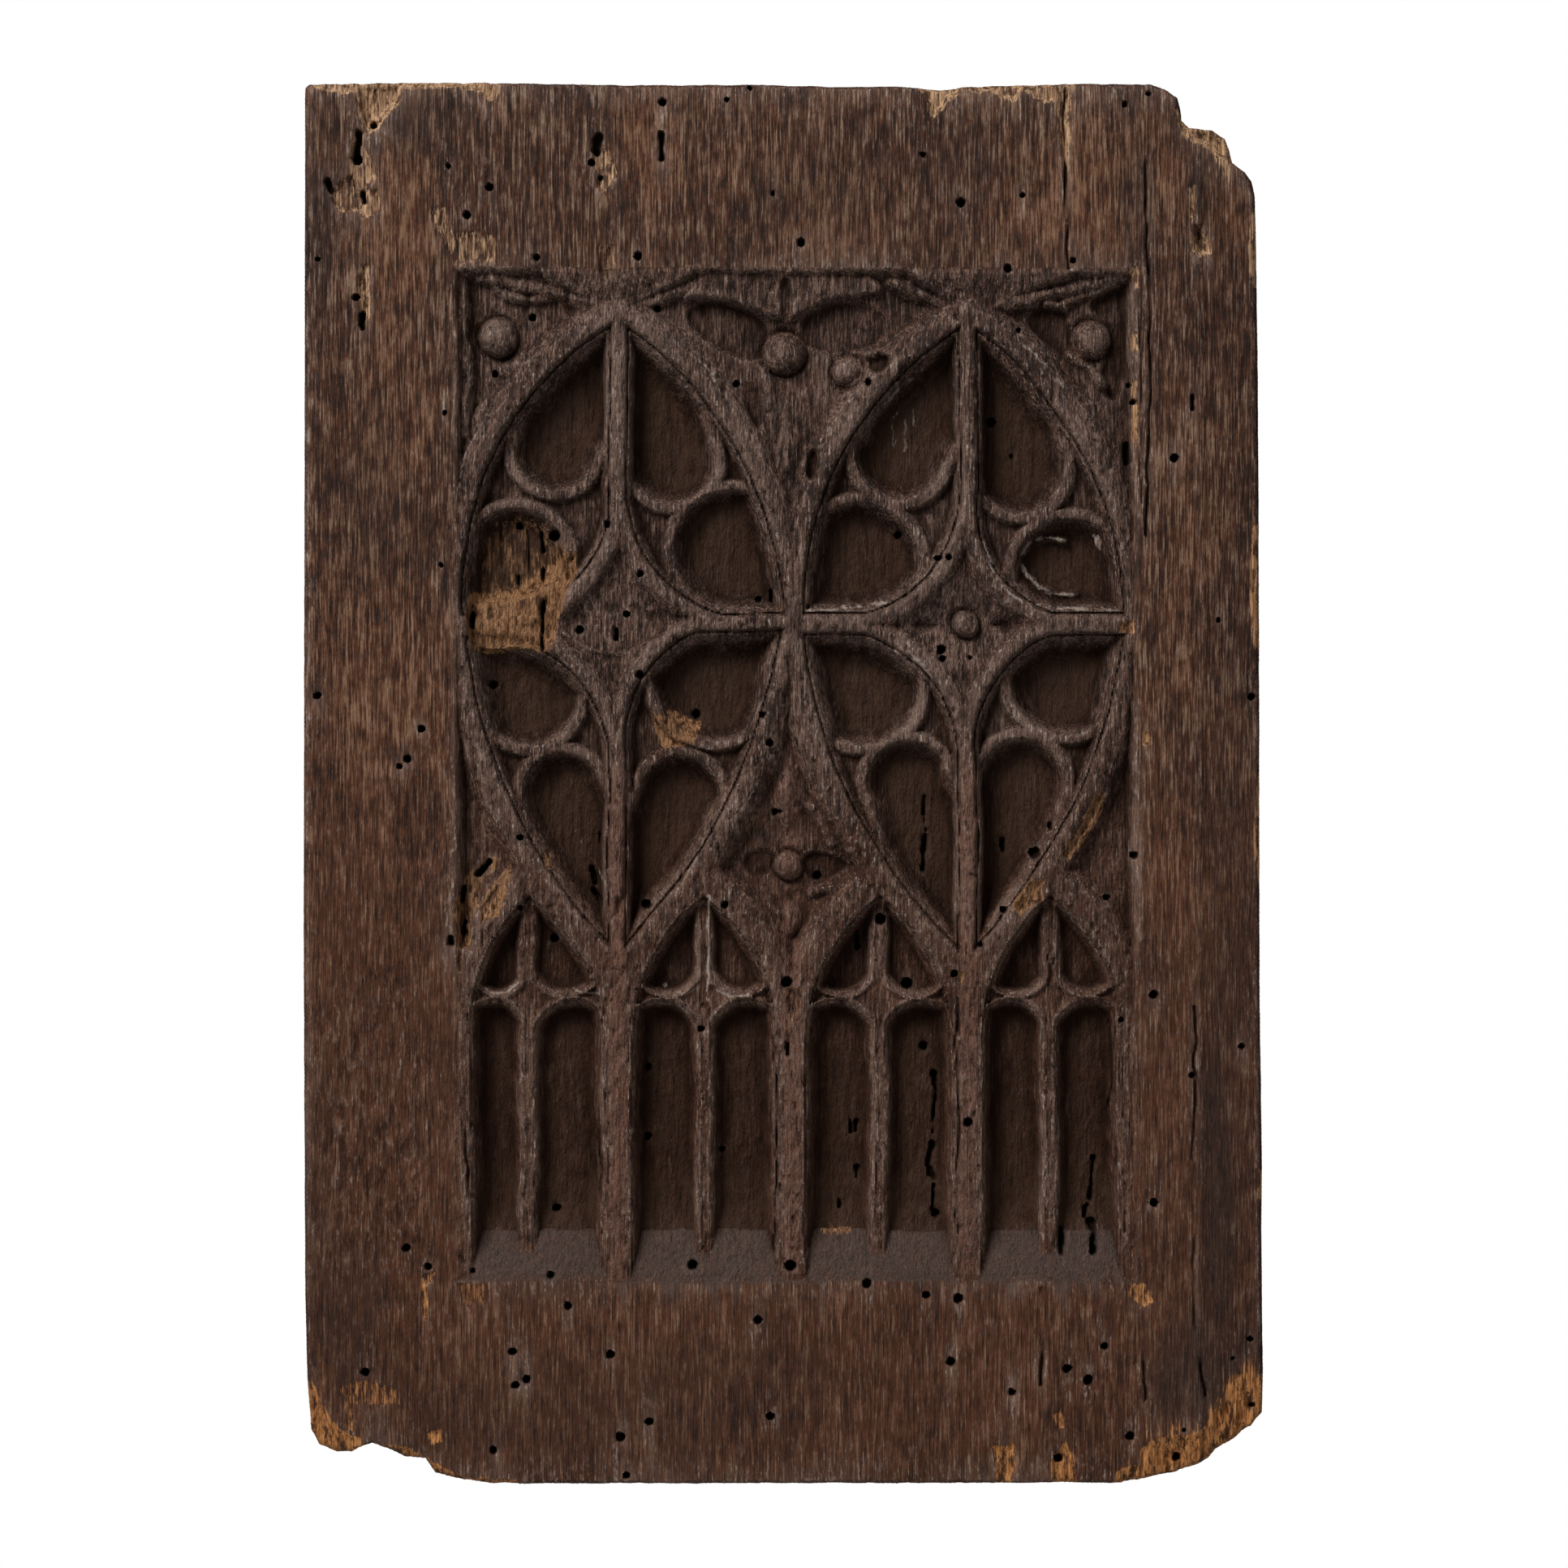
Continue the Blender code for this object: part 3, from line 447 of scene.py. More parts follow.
# Smaller forms traced on the photograph. A sunk or raised patch has its level under the face and the
# width of its sloping edge in millimetres, a roll its ridge's level and its half width.
formsInPhoto = (
    ("patch", 2.2, 2.6, (
        (884, 318), (1058, 318), (1098, 360), (1050, 364), (1012, 370), (986, 388), (966, 392),
        (940, 386), (898, 371), (863, 366), (832, 370),
    )),
    ("patch", 4.0, 1.8, (
        (688, 774), (716, 757), (760, 748), (800, 758), (826, 772), (802, 790), (764, 806), (720, 796),
    )),
    ("roll", 2.0, 1.0, ((690, 776), (718, 796), (764, 808), (802, 792), (828, 774))),
    ("patch", 4.2, 2.0, ((960, 340), (974, 342), (976, 392), (962, 400))),
    ("patch", 6.6, 1.8, (
        (840, 384), (863, 370), (898, 374), (933, 388), (948, 402), (940, 444), (898, 437), (859, 413),
    )),
    ("patch", 6.4, 1.8, (
        (981, 395), (1015, 375), (1046, 370), (1080, 374), (1092, 392), (1087, 417), (1054, 431),
        (1000, 432),
    )),
    ("patch", 5.8, 1.4, ((1070, 440), (1084, 432), (1098, 436), (1094, 452), (1080, 460), (1070, 452))),
    ("patch", 6.0, 1.4, ((912, 470), (932, 468), (942, 492), (938, 534), (922, 508))),
    ("patch", 5.4, 1.6, ((998, 552), (1010, 556), (1008, 584), (998, 592), (994, 572))),
    ("roll", 3.0, 2.4, ((942, 456), (950, 500), (954, 546), (966, 580), (976, 604))),
    ("roll", 3.2, 1.2, ((1066, 436), (1084, 428), (1102, 434))),
    ("roll", 1.5, 2.2, ((590, 338), (650, 350), (700, 362), (750, 376))),
    ("roll", 2.6, 1.8, ((606, 345), (622, 362), (650, 368), (682, 362), (724, 378))),
    ("roll", 2.2, 2.6, ((742, 388), (696, 408), (655, 438), (622, 456))),
    ("roll", 2.4, 2.6, ((636, 462), (610, 482), (592, 508), (578, 540))),
    ("roll", 1.8, 2.2, ((566, 338), (569, 380), (567, 420), (571, 470), (568, 530))),
    ("roll", 1.6, 2.0, ((770, 378), (830, 358), (880, 340))),
    ("roll", 1.6, 2.0, ((1096, 344), (1140, 362), (1180, 378))),
    ("roll", 1.5, 2.4, ((1200, 380), (1262, 366), (1326, 350), (1396, 334))),
    ("roll", 2.6, 1.8, ((1290, 372), (1306, 376), (1330, 362), (1352, 356), (1376, 346))),
    ("patch", 6.6, 2.0, ((1276, 378), (1320, 380), (1318, 440), (1296, 430), (1262, 396))),
    ("patch", 6.8, 2.2, (
        (1338, 372), (1372, 350), (1390, 356), (1390, 440), (1376, 500), (1352, 470), (1372, 420),
        (1362, 392),
    )),
    ("roll", 2.6, 2.2, ((1222, 398), (1262, 424), (1300, 456), (1338, 500), (1366, 540))),
    ("roll", 3.0, 1.6, ((1320, 436), (1344, 450), (1358, 470))),
    ("patch", 6.4, 1.6, ((920, 1050), (948, 1046), (956, 1062), (948, 1080), (922, 1078), (914, 1064))),
    ("patch", 6.8, 1.4, ((990, 1052), (1012, 1050), (1040, 1060), (1044, 1068), (1010, 1090), (994, 1084))),
    ("patch", 5.8, 2.0, ((962, 1098), (996, 1096), (1000, 1120), (986, 1150), (976, 1160))),
    ("patch", 5.6, 2.4, ((960, 944), (990, 944), (1002, 990), (1000, 1030), (950, 1040), (948, 1000))),
    ("roll", 2.8, 1.8, ((1002, 994), (1014, 1016), (1022, 1040))),
    ("roll", 3.0, 1.8, ((1000, 1100), (1024, 1096), (1036, 1106), (1022, 1126))),
    ("roll", 2.8, 2.0, ((940, 1100), (952, 1124), (968, 1150))),
    ("roll", 6.2, 1.4, (
        (1312, 664), (1296, 660), (1272, 666), (1258, 684), (1264, 706), (1280, 722), (1304, 733),
        (1330, 732),
    )),
)


# A closed outline with its corners cut twice, so that it reads as a curve
def rounded(path):
    for _ in range(2):
        path = [
            (a[0] * share + b[0] * (1 - share), a[1] * share + b[1] * (1 - share))
            for a, b in zip(path, path[1:] + path[:1]) for share in (0.75, 0.25)
        ]
    return path


rolls = {
    "torn": 0.32,           # chips out of a roll's sides, as shares of its half width
    "tornEvery": (1.9, 3.2),
    "uneven": 0.25,
    "unevenEvery": 5,
    "sunk": 0.7,            # the ridge lies this far under its traced level, and waves by as much
    "waveEvery": 6,
    "crown": 1.8,
    "reach": 1.5,
}


def carveForms(depth):
    for kind, level, width, path in formsInPhoto:
        path = traced(path)
        part = near(path, 4)
        ground = depth[part]
        if kind == "patch":
            within = insideBy(x[part], z[part], rounded(path)) + width / 2
            depth[part] = ground + (level - ground) * smooth(within / width)
        else:
            px, pz = x[part], z[part]
            wide, tall = rolls["tornEvery"]
            torn = rolls["torn"] * layered(px / wide, pz / tall, 3, 61)
            uneven = 1 + rolls["uneven"] * noise(px / rolls["unevenEvery"], pz / rolls["unevenEvery"], 62)
            distance = pathDistance(px, pz, path) / width * uneven + torn
            wave = rolls["sunk"] * noise(px / rolls["waveEvery"], pz / rolls["waveEvery"], 63)
            ridge = level + rolls["sunk"] + wave + rolls["crown"] * np.maximum(distance, 0) ** 2
            depth[part] = np.where(distance < rolls["reach"], np.minimum(ground, ridge), ground)
    return depth


def carveScoops(depth):
    for left, right, oval in spandrels["scoops"]:
        tip = (fieldX(ovals["axes"][oval]), fieldZ(ovals["ends"]["tip"]))
        outline = [(fieldX(left), fieldTop + 4), (fieldX(right), fieldTop + 4), tip]
        within = insideBy(x, z, outline)
        down = smooth((fieldTop - z) / (fieldTop - tip[1]))
        plane = spandrels["scoopEdge"] + (spandrels["scoopTip"] - spandrels["scoopEdge"]) * down
        plane = plane + spandrels["scoopSide"] * np.clip(0.3 - within, 0, 6)
        depth = np.where((z < fieldTop) & (within > -5), np.minimum(depth, plane), depth)
    return depth


ovalDepth, ovalOutlines = carveOvals()
lightDepth, lightOutlines = carveLights()
plates = np.maximum.reduce(ovalOutlines + lightOutlines)
spandrelDepth = np.where(plates < 0, falls("outer", -plates), 0)
depth = np.maximum.reduce([np.full(x.shape, mouldings["faceWorn"]), spandrelDepth, ovalDepth, lightDepth])
depth = carveForms(carveScoops(depth))
depth = carveSpandrels(depth)

# The field's own edges, and the sill that slopes up to the face under the lights
insideField = np.minimum.reduce([x - fieldLeft, fieldRight - x, fieldTop - z])
softTop = np.minimum.reduce([
    mouldings["leftSoft"] * (x - fieldLeft), fieldRight - x, mouldings["topSoft"] * (fieldTop - z),
])
depth = np.minimum(depth, falls("edge", softTop))
upSill = z - fieldFoot
sill = np.clip(upSill / mouldings["sillRise"], 0, None) * mouldings["sillDepth"]
pastSill = upSill - mouldings["sillRise"]
behind = mouldings["sillDepth"] + mouldings["sillStep"] + mouldings["floorSlope"] * pastSill
onSill = smooth((depth - sill) * 2) * (upSill > 0) * smooth(0.5 - pastSill / 0.6)
depth = np.minimum(depth, np.where(pastSill < 0, sill, behind))
depth = np.where((insideField > 0) & (z > fieldFoot), depth, 0)
inField = smooth(insideField / 1.5) * smooth((z - fieldFoot) / 3)
print("tracery carved on a grid of", columns, "by", rows)

# Knife and gouge marks: uneven flats and pits in the field, long shallow strokes on the margins, and
# gouge hollows low on the left. Heights in millimetres, and how far apart across and along the grain
marks = {
    "flats": 0.4,
    "flatEvery": (7, 11.2),
    "small": 0.34,
    "smallEvery": (2, 4),
    "pits": 0.6,
    "pitEvery": (1.1, 2.8),
    "strokes": 0.35,
    "strokeEvery": (13, 46),
    "grain": 0.06,
    "grainEvery": (0.9, 16),
    "pitSteep": 2.4,
    "pitLeast": 0.35,
    "scallops": 1.4,
    "scallopEvery": (3.4, 9),
    # They lie left of, under and over these places, and fade in over so far
    "scallopsLie": ((-92, 6), (-45, 12), (-140, 14)),
    "band": ((900, 310), (1090, 190)),      # a worn band across the top margin, on the photograph
    "bandWide": 6,
    "bandDepth": 0.35,
    "leftOnSill": 0.15,     # share of the marks that the smooth sill keeps
}


# Noise so wide across the grain and so long along it, over the whole board or a part of it
def grained(every, layers, shift, part=...):
    wide, tall = every
    return layered(trueX[part] / wide, trueZ[part] / tall, layers, shift)


flats = marks["flats"] * grained(marks["flatEvery"], 1, 5)
flats = flats + marks["small"] * grained(marks["smallEvery"], 2, 6)
depth = depth + inField * flats * smooth(depth / 1.5) * (1 - (1 - marks["leftOnSill"]) * onSill)
plain = 1 - inField
depth = depth + plain * marks["strokes"] * (0.5 + 0.5 * grained(marks["strokeEvery"], 1, 7))
depth = depth + marks["grain"] * grained(marks["grainEvery"], 3, 8)
leftOf, under, over = marks["scallopsLie"]
lowLeft = smooth((leftOf[0] - trueX) / leftOf[1]) * smooth((under[0] - trueZ) / under[1])
lowLeft = lowLeft * smooth((trueZ - over[0]) / over[1])
scalloped = lowLeft * np.abs(grained(marks["scallopEvery"], 2, 9))
depth = depth + marks["scallops"] * scalloped
band = segmentDistance(trueX, trueZ, *traced(marks["band"]))
depth = depth + plain * marks["bandDepth"] * smooth(1 - band / marks["bandWide"])
pitted = smooth(marks["pitSteep"] * grained(marks["pitEvery"], 3, 13) - marks["pitLeast"])
pitted = pitted * inField * (1 - onSill)
depth = depth + marks["pits"] * pitted * (1 - smooth((depth - 3) / 3)) * smooth(depth / 0.3)

# The board's outline as it is now, with its broken corners, clockwise from the top left
outlineInPhoto = (
    (375, 107), (380, 102), (421, 100), (576, 99), (670, 101), (768, 103), (940, 102), (1042, 105),
    (1103, 104), (1156, 108), (1205, 104), (1307, 101), (1418, 102), (1438, 109), (1452, 119),
    (1455, 133), (1457, 147), (1466, 155), (1495, 157), (1511, 168), (1516, 182), (1520, 198),
    (1536, 209), (1544, 221), (1548, 239), (1550, 325), (1552, 488), (1553, 651), (1554, 1220),
    (1557, 1444), (1556, 1506), (1558, 1701), (1557, 1742), (1544, 1759), (1532, 1767), (1524, 1775),
    (1499, 1789), (1491, 1800), (1475, 1808), (1450, 1816), (1409, 1824), (1381, 1829), (605, 1830),
    (564, 1824), (535, 1817), (529, 1808), (523, 1799), (499, 1797), (482, 1789), (470, 1785),
    (458, 1780), (442, 1785), (433, 1791), (413, 1791), (391, 1783), (382, 1763), (378, 1710),
    (375, 1587), (373, 1200), (374, 700),
)


def resampled(path, spacing):
    points = []
    for start, end in zip(path, path[1:] + path[:1]):
        parts = max(1, round(math.dist(start, end) / spacing))
        for part in range(parts):
            share = part / parts
            points.append((
                start[0] + (end[0] - start[0]) * share,
                start[1] + (end[1] - start[1]) * share,
            ))
    return points


outline = [
    (min(max(px, low.x + 0.1), high.x - 0.1), min(max(pz, low.z + 0.1), high.z - 0.1))
    for px, pz in resampled(traced(outlineInPhoto), board["outlineStep"])
]

# Split-off and raw places, traced on the photograph: how deep they go, how rough they are, and how
# bare the wood is
brokenInPhoto = (
    # Depth, slope of the sides, roughness, bareness, outline
    (2.6, 1.2, 0.9, 1.0, (
        (400, 98), (436, 112), (440, 140), (452, 166), (466, 160), (474, 146), (494, 124), (500, 98),
    )),
    (1.2, 0.6, 0.5, 0.45, (
        (432, 158), (446, 156), (456, 190), (466, 220), (454, 238), (448, 270), (438, 250), (426, 222),
    )),
    (0.8, 0.5, 0.3, 0.9, ((378, 96), (640, 96), (560, 108), (470, 113), (420, 116), (385, 108))),
    (1.6, 0.8, 0.5, 0.9, ((556, 96), (616, 96), (612, 128), (600, 124), (590, 112), (570, 112))),
    (0.4, 0.3, 0.3, 0.6, ((700, 96), (800, 96), (780, 106), (720, 107))),
    (1.6, 0.8, 0.5, 0.95, (
        (1124, 96), (1190, 96), (1186, 114), (1172, 124), (1160, 138), (1150, 146), (1142, 130),
        (1132, 112),
    )),
    (1.2, 0.6, 0.6, 0.9, (
        (1184, 94), (1308, 94), (1304, 124), (1294, 130), (1278, 124), (1264, 112), (1250, 126),
        (1236, 122), (1220, 112), (1200, 116), (1188, 110),
    )),
    (0.9, 0.8, 0.5, 0.7, (
        (1302, 98), (1324, 98), (1321, 140), (1320, 176), (1315, 244), (1309, 232), (1306, 180),
        (1300, 140),
    )),
    (2.0, 1.0, 0.8, 0.75, ((1468, 292), (1490, 286), (1494, 312), (1478, 318), (1468, 310))),
    (0.8, 0.6, 0.4, 0.6, ((1463, 228), (1473, 226), (1476, 268), (1465, 270))),
    (1.0, 0.8, 0.6, 0.5, (
        (412, 226), (432, 212), (446, 230), (468, 226), (472, 260), (452, 272), (438, 262), (420, 264),
        (406, 244),
    )),
    (1.2, 0.8, 0.6, 0.62, ((442, 322), (454, 326), (458, 372), (453, 400), (443, 398), (439, 350))),
    (1.0, 0.6, 0.6, 0.7, (
        (1220, 1780), (1252, 1778), (1252, 1808), (1248, 1836), (1222, 1836), (1226, 1806),
    )),
    (1.0, 0.6, 0.6, 0.75, ((1294, 1800), (1312, 1774), (1326, 1800), (1328, 1836), (1292, 1836))),
    (0.5, 0.4, 0.4, 0.55, ((1296, 1742), (1310, 1736), (1316, 1762), (1302, 1766))),
    (0.6, 0.5, 0.4, 0.6, ((1386, 1580), (1412, 1580), (1426, 1606), (1408, 1614), (1390, 1598))),
    (0.8, 0.6, 0.4, 0.85, ((1548, 1448), (1562, 1440), (1562, 1482), (1550, 1478))),
    (0.3, 0.3, 0.4, 0.46, (
        (414, 1704), (452, 1698), (492, 1710), (494, 1732), (440, 1734), (438, 1764), (424, 1764),
        (422, 1728),
    )),
    (0.6, 0.4, 0.5, 0.65, ((522, 1766), (544, 1758), (548, 1778), (530, 1784))),
    (0.6, 0.8, 0.4, 0.62, (
        (518, 1574), (538, 1564), (536, 1576), (526, 1586), (530, 1626), (520, 1628), (516, 1600),
    )),
    (0.3, 0.3, 0.4, 0.42, ((560, 1580), (600, 1580), (604, 1606), (572, 1612))),
    (2.4, 0.8, 0.8, 1.0, (
        (1444, 120), (1460, 148), (1512, 158), (1526, 200), (1506, 202), (1486, 184), (1462, 172),
        (1450, 150),
    )),
    (1.6, 0.5, 0.5, 1.0, ((1566, 235), (1544, 262), (1538, 300), (1544, 352), (1566, 360))),
    (1.5, 0.5, 0.5, 0.9, ((1566, 630), (1544, 650), (1540, 720), (1545, 800), (1566, 810))),
    (1.5, 0.5, 0.5, 0.8, ((1566, 945), (1548, 955), (1545, 1020), (1550, 1095), (1566, 1100))),
    (3.2, 0.3, 1.3, 1.0, (
        (1570, 1684), (1548, 1700), (1522, 1706), (1512, 1722), (1496, 1738), (1484, 1758), (1462, 1768),
        (1440, 1766), (1416, 1776), (1402, 1788), (1404, 1802), (1378, 1812), (1360, 1845), (1570, 1845),
    )),
    (2.4, 0.4, 0.8, 0.9, (
        (362, 1690), (386, 1706), (404, 1740), (420, 1762), (444, 1772), (444, 1810), (362, 1810),
    )),
    (2.2, 0.5, 0.8, 0.8, (
        (440, 1776), (500, 1782), (532, 1798), (570, 1818), (640, 1824), (640, 1845), (440, 1845),
    )),
    (0.7, 0.3, 0.4, 0.45, (
        (524, 256), (548, 252), (560, 286), (596, 280), (618, 296), (612, 324), (562, 330), (548, 306),
    )),
    (4.6, 2.4, 0.7, 0.9, (
        (574, 730), (600, 728), (640, 722), (662, 706), (690, 682), (714, 676), (712, 704), (696, 736),
        (690, 764), (684, 790), (676, 804), (640, 800), (600, 806), (578, 800), (572, 770),
    )),
    (0.5, 0.5, 0.3, 0.40, (
        (592, 664), (610, 640), (640, 630), (672, 640), (694, 662), (700, 690), (690, 716), (650, 738),
        (588, 738),
    )),
    (4.6, 1.6, 0.8, 0.55, (
        (596, 1056), (622, 1052), (612, 1074), (592, 1086), (586, 1130), (582, 1172), (562, 1170),
        (556, 1110), (572, 1076),
    )),
    (1.6, 0.9, 0.8, 0.66, ((612, 1078), (632, 1060), (628, 1090), (618, 1130), (590, 1142), (588, 1116))),
    (3.6, 1.2, 0.6, 0.7, ((800, 880), (832, 872), (866, 890), (856, 918), (816, 924))),
    (1.6, 0.8, 0.4, 0.95, (
        (1308, 1054), (1330, 1018), (1344, 984), (1364, 970), (1358, 1004), (1336, 1036), (1318, 1062),
    )),
    (1.0, 0.8, 0.3, 0.95, ((1408, 902), (1418, 902), (1420, 920), (1408, 918))),
    (1.0, 0.8, 0.3, 0.95, ((1378, 766), (1398, 762), (1400, 782), (1380, 780))),
    (0.8, 0.8, 0.3, 0.6, ((1350, 658), (1360, 660), (1360, 678), (1350, 676))),
    (1.2, 0.9, 0.5, 0.6, ((668, 1050), (684, 1046), (680, 1070), (668, 1072))),
    (0.8, 0.6, 0.3, 0.5, ((964, 1218), (988, 1214), (992, 1240), (974, 1262))),
    (0.8, 0.6, 0.4, 0.6, ((1004, 1514), (1054, 1512), (1046, 1528), (1020, 1530))),
    (0.8, 0.8, 0.3, 0.8, ((1179, 1196), (1190, 1196), (1188, 1218), (1180, 1216))),
    (2.0, 1.0, 0.6, 0.85, ((1245, 1115), (1270, 1082), (1290, 1082), (1284, 1112), (1256, 1130))),
    (3.0, 1.4, 0.4, 0.4, ((752, 1104), (768, 1104), (770, 1130), (754, 1132))),
    (0.9, 0.6, 0.3, 0.5, ((730, 182), (752, 178), (762, 214), (748, 242), (732, 232))),
    (0.8, 0.6, 0.3, 0.4, ((732, 300), (760, 300), (758, 346), (736, 344))),
    (0.8, 0.6, 0.4, 0.9, ((1392, 328), (1403, 328), (1403, 356), (1394, 354))),
    (1.0, 0.6, 0.4, 0.9, ((1391, 410), (1402, 412), (1403, 432), (1393, 434))),
    (1.4, 0.6, 0.5, 0.85, ((1392, 466), (1402, 468), (1404, 540), (1400, 562), (1392, 540))),
    (5.0, 1.8, 0.4, 0.2, ((1471, 276), (1483, 274), (1486, 298), (1472, 300))),
)

# Wormholes and their tracks, traced on the photograph
wormHoles = {
    "depth": 4.2,
    "share": 0.8,           # of the radius traced, for the dark ring round a hole
    "ragged": 0.16,
    "raggedEvery": (0.7, 0.7),
    "edge": 0.5,            # how soft its rim is
    "slotDepth": 2.8,
    "slotRagged": 0.6,
    "slotRaggedEvery": (1.3, 2.6),
    "slotEdge": 0.6,
    "inPhoto": (
        (816, 125, 5.5), (729, 200, 5), (740, 219, 3), (603, 230, 5.5), (575, 264, 5.5), (552, 204, 3),
        (661, 317, 4), (786, 315, 6), (987, 298, 6), (952, 238, 3), (391, 319, 3), (438, 366, 5),
        (440, 196, 7), (460, 153, 5), (895, 122, 3), (924, 108, 2.5), (655, 389, 5), (809, 378, 5),
        (609, 459, 4.5), (907, 471, 5), (638, 646, 5), (682, 658, 8), (748, 645, 5), (789, 706, 5),
        (548, 508, 3), (543, 696, 3), (1184, 249, 6.5), (1260, 240, 3.5), (1242, 330, 6), (1322, 320, 4),
        (1137, 190, 3.5), (1386, 128, 4), (1415, 115, 3), (1255, 406, 3), (1222, 517, 7), (1248, 560, 2.5),
        (1392, 474, 3.5), (1397, 495, 4), (1447, 564, 6), (1070, 470, 4.5), (1156, 687, 5), (1169, 686, 4),
        (1107, 657, 5), (391, 857, 5), (519, 898, 5), (501, 935, 5.5), (492, 944, 4), (606, 843, 6),
        (713, 775, 5.5), (771, 756, 4.5), (857, 879, 6), (788, 831, 5.5), (641, 1032, 4.5), (682, 1157, 6),
        (893, 1115, 5), (969, 1210, 8), (863, 1268, 4.5), (640, 1118, 4), (948, 915, 5), (940, 881, 4),
        (934, 737, 4), (1160, 800, 6.5), (1162, 811, 4.5), (1196, 810, 2.5), (1502, 764, 3), (1543, 858, 5),
        (1398, 1054, 5.5), (1276, 1051, 8), (1007, 1079, 6), (1085, 1133, 8), (1237, 1121, 5),
        (1364, 1106, 4.5), (1176, 1200, 5.5), (1422, 1226, 6), (1118, 1213, 8), (1209, 1164, 3.5),
        (1139, 1290, 6), (1382, 1257, 4), (1531, 1290, 4), (500, 1538, 6), (527, 1561, 5), (582, 1566, 3),
        (678, 1572, 5), (700, 1609, 5.5), (631, 1666, 5.5), (649, 1700, 5.5), (635, 1707, 5),
        (752, 1669, 6), (450, 1691, 6), (608, 1787, 5.5), (800, 1752, 5.5), (949, 1745, 5.5),
        (934, 1627, 6), (853, 1560, 7), (974, 1560, 8), (684, 1491, 6), (797, 1402, 5.5), (797, 1316, 5.5),
        (889, 1418, 4), (764, 1771, 7), (772, 1818, 5), (1068, 1582, 6.5), (1141, 1596, 5.5),
        (1181, 1600, 7), (1172, 1678, 6.5), (1315, 1687, 6.5), (1341, 1701, 7), (1247, 1716, 5),
        (1393, 1770, 6), (1304, 1797, 6), (1361, 1659, 5), (1422, 1482, 6), (1193, 1383, 6.5),
        (1152, 1325, 5), (1469, 1325, 3.5), (1541, 1651, 4), (1520, 1675, 2), (1459, 1762, 2),
        (1348, 1542, 6), (1154, 1498, 6), (1544, 1733, 4), (1450, 1796, 6), (796, 1115, 7),
    ),
    # Slots: half width in pixels, then the path
    "slotsInPhoto": (
        (5, ((815, 165), (815, 195))), (7, ((737, 168), (735, 186))), (5, ((404, 222), (408, 234))),
        (5, ((446, 388), (447, 404))), (6, ((442, 164), (438, 194))), (4, ((448, 238), (449, 248))),
        (6, ((1390, 548), (1390, 568))), (3, ((1470, 488), (1470, 504))), (4, ((759, 775), (759, 785))),
        (5, ((555, 1155), (556, 1162))), (4, ((955, 1000), (961, 1000))), (4, ((950, 727), (950, 739))),
        (4, ((1237, 1035), (1237, 1047))), (4, ((1296, 1015), (1296, 1021))),
        (4, ((970, 1287), (970, 1299))),
        (4, ((1309, 1515), (1309, 1545))), (4, ((580, 745), (581, 770))), (4, ((668, 740), (667, 800))),
        (3, ((1141, 982), (1139, 1006), (1142, 1024))), (4, ((1140, 1030), (1138, 1072))),
        (5, ((602, 1062), (588, 1078))), (5, ((570, 1094), (568, 1110))), (4, ((572, 1136), (570, 1150))),
        (4, ((1152, 1322), (1154, 1345))), (2.5, ((1153, 1350), (1150, 1396))),
        (3, ((1152, 1462), (1150, 1492))),
        (5, ((1149, 1412), (1144, 1438), (1152, 1454))), (3, ((1048, 1382), (1049, 1397))),
        (3, ((1055, 1384), (1055, 1394))), (3, ((1056, 1440), (1056, 1454))),
        (2.5, ((1034, 1480), (1034, 1490))),
        (3.5, ((1350, 1428), (1347, 1450), (1346, 1478))), (3.5, ((1340, 1488), (1338, 1500))),
        (5, ((1345, 1506), (1350, 1520), (1348, 1544))), (3, ((1056, 1148), (1057, 1168))),
        (3, ((738, 1028), (738, 1040))), (4, ((728, 1070), (733, 1088))), (5, ((730, 1098), (738, 1108))),
        (3, ((666, 655), (668, 676))), (3, ((667, 700), (667, 716))), (3, ((637, 708), (637, 718))),
    ),
}

# Splits along the grain: half width and depth in millimetres, then the path on the photograph
cracksInPhoto = (
    (0.38, 2.2, ((1411, 180), (1415, 320), (1418, 480), (1412, 660))),
    (0.22, 1.2, ((1405, 330), (1406, 620))),
    (0.5, 2.6, ((1283, 1587), (1284, 1650), (1282, 1706))),
    (0.38, 2.0, ((1474, 1240), (1470, 1420), (1472, 1640))),
    (0.40, 2.4, ((1476, 1645), (1481, 1680), (1484, 1720))),
    (0.26, 1.4, ((1398, 1650), (1399, 1680))),
    (0.4, 2.0, ((1409, 1665), (1410, 1725))),
    (0.26, 1.4, ((1501, 1742), (1500, 1762))),
    (0.24, 1.2, ((1320, 1567), (1321, 1600))),
    (0.24, 1.2, ((877, 1782), (878, 1805))),
    (0.3, 1.8, ((1368, 1258), (1372, 1290), (1371, 1340), (1366, 1370))),
    (0.3, 1.8, ((1178, 1230), (1181, 1380), (1177, 1500))),
    (0.3, 1.6, ((614, 640), (616, 700))),
    (0.35, 2.0, ((1311, 110), (1310, 160), (1314, 240), (1317, 330))),
    (0.3, 1.2, ((546, 1666), (578, 1646))),
    (0.3, 1.6, ((648, 650), (650, 716))),
    (0.35, 2.0, ((577, 1250), (574, 1380), (576, 1480))),
    (0.35, 2.0, ((741, 1300), (738, 1400), (742, 1520))),
    (0.35, 2.0, ((955, 1290), (957, 1400), (955, 1540))),
)

# Where wormholes and splits get painted shade
holes = np.zeros(x.shape)
bare = np.zeros(x.shape)

breaks = {
    "ragged": 0.7,          # how far a break's outline wanders
    "raggedEvery": (2.2, 3.5),
    "splinterEvery": (0.8, 7),
    "sharedDepth": 1.2,     # a break over a hollow goes at most this far under its own floor
    "bareEdge": 1.3,
}


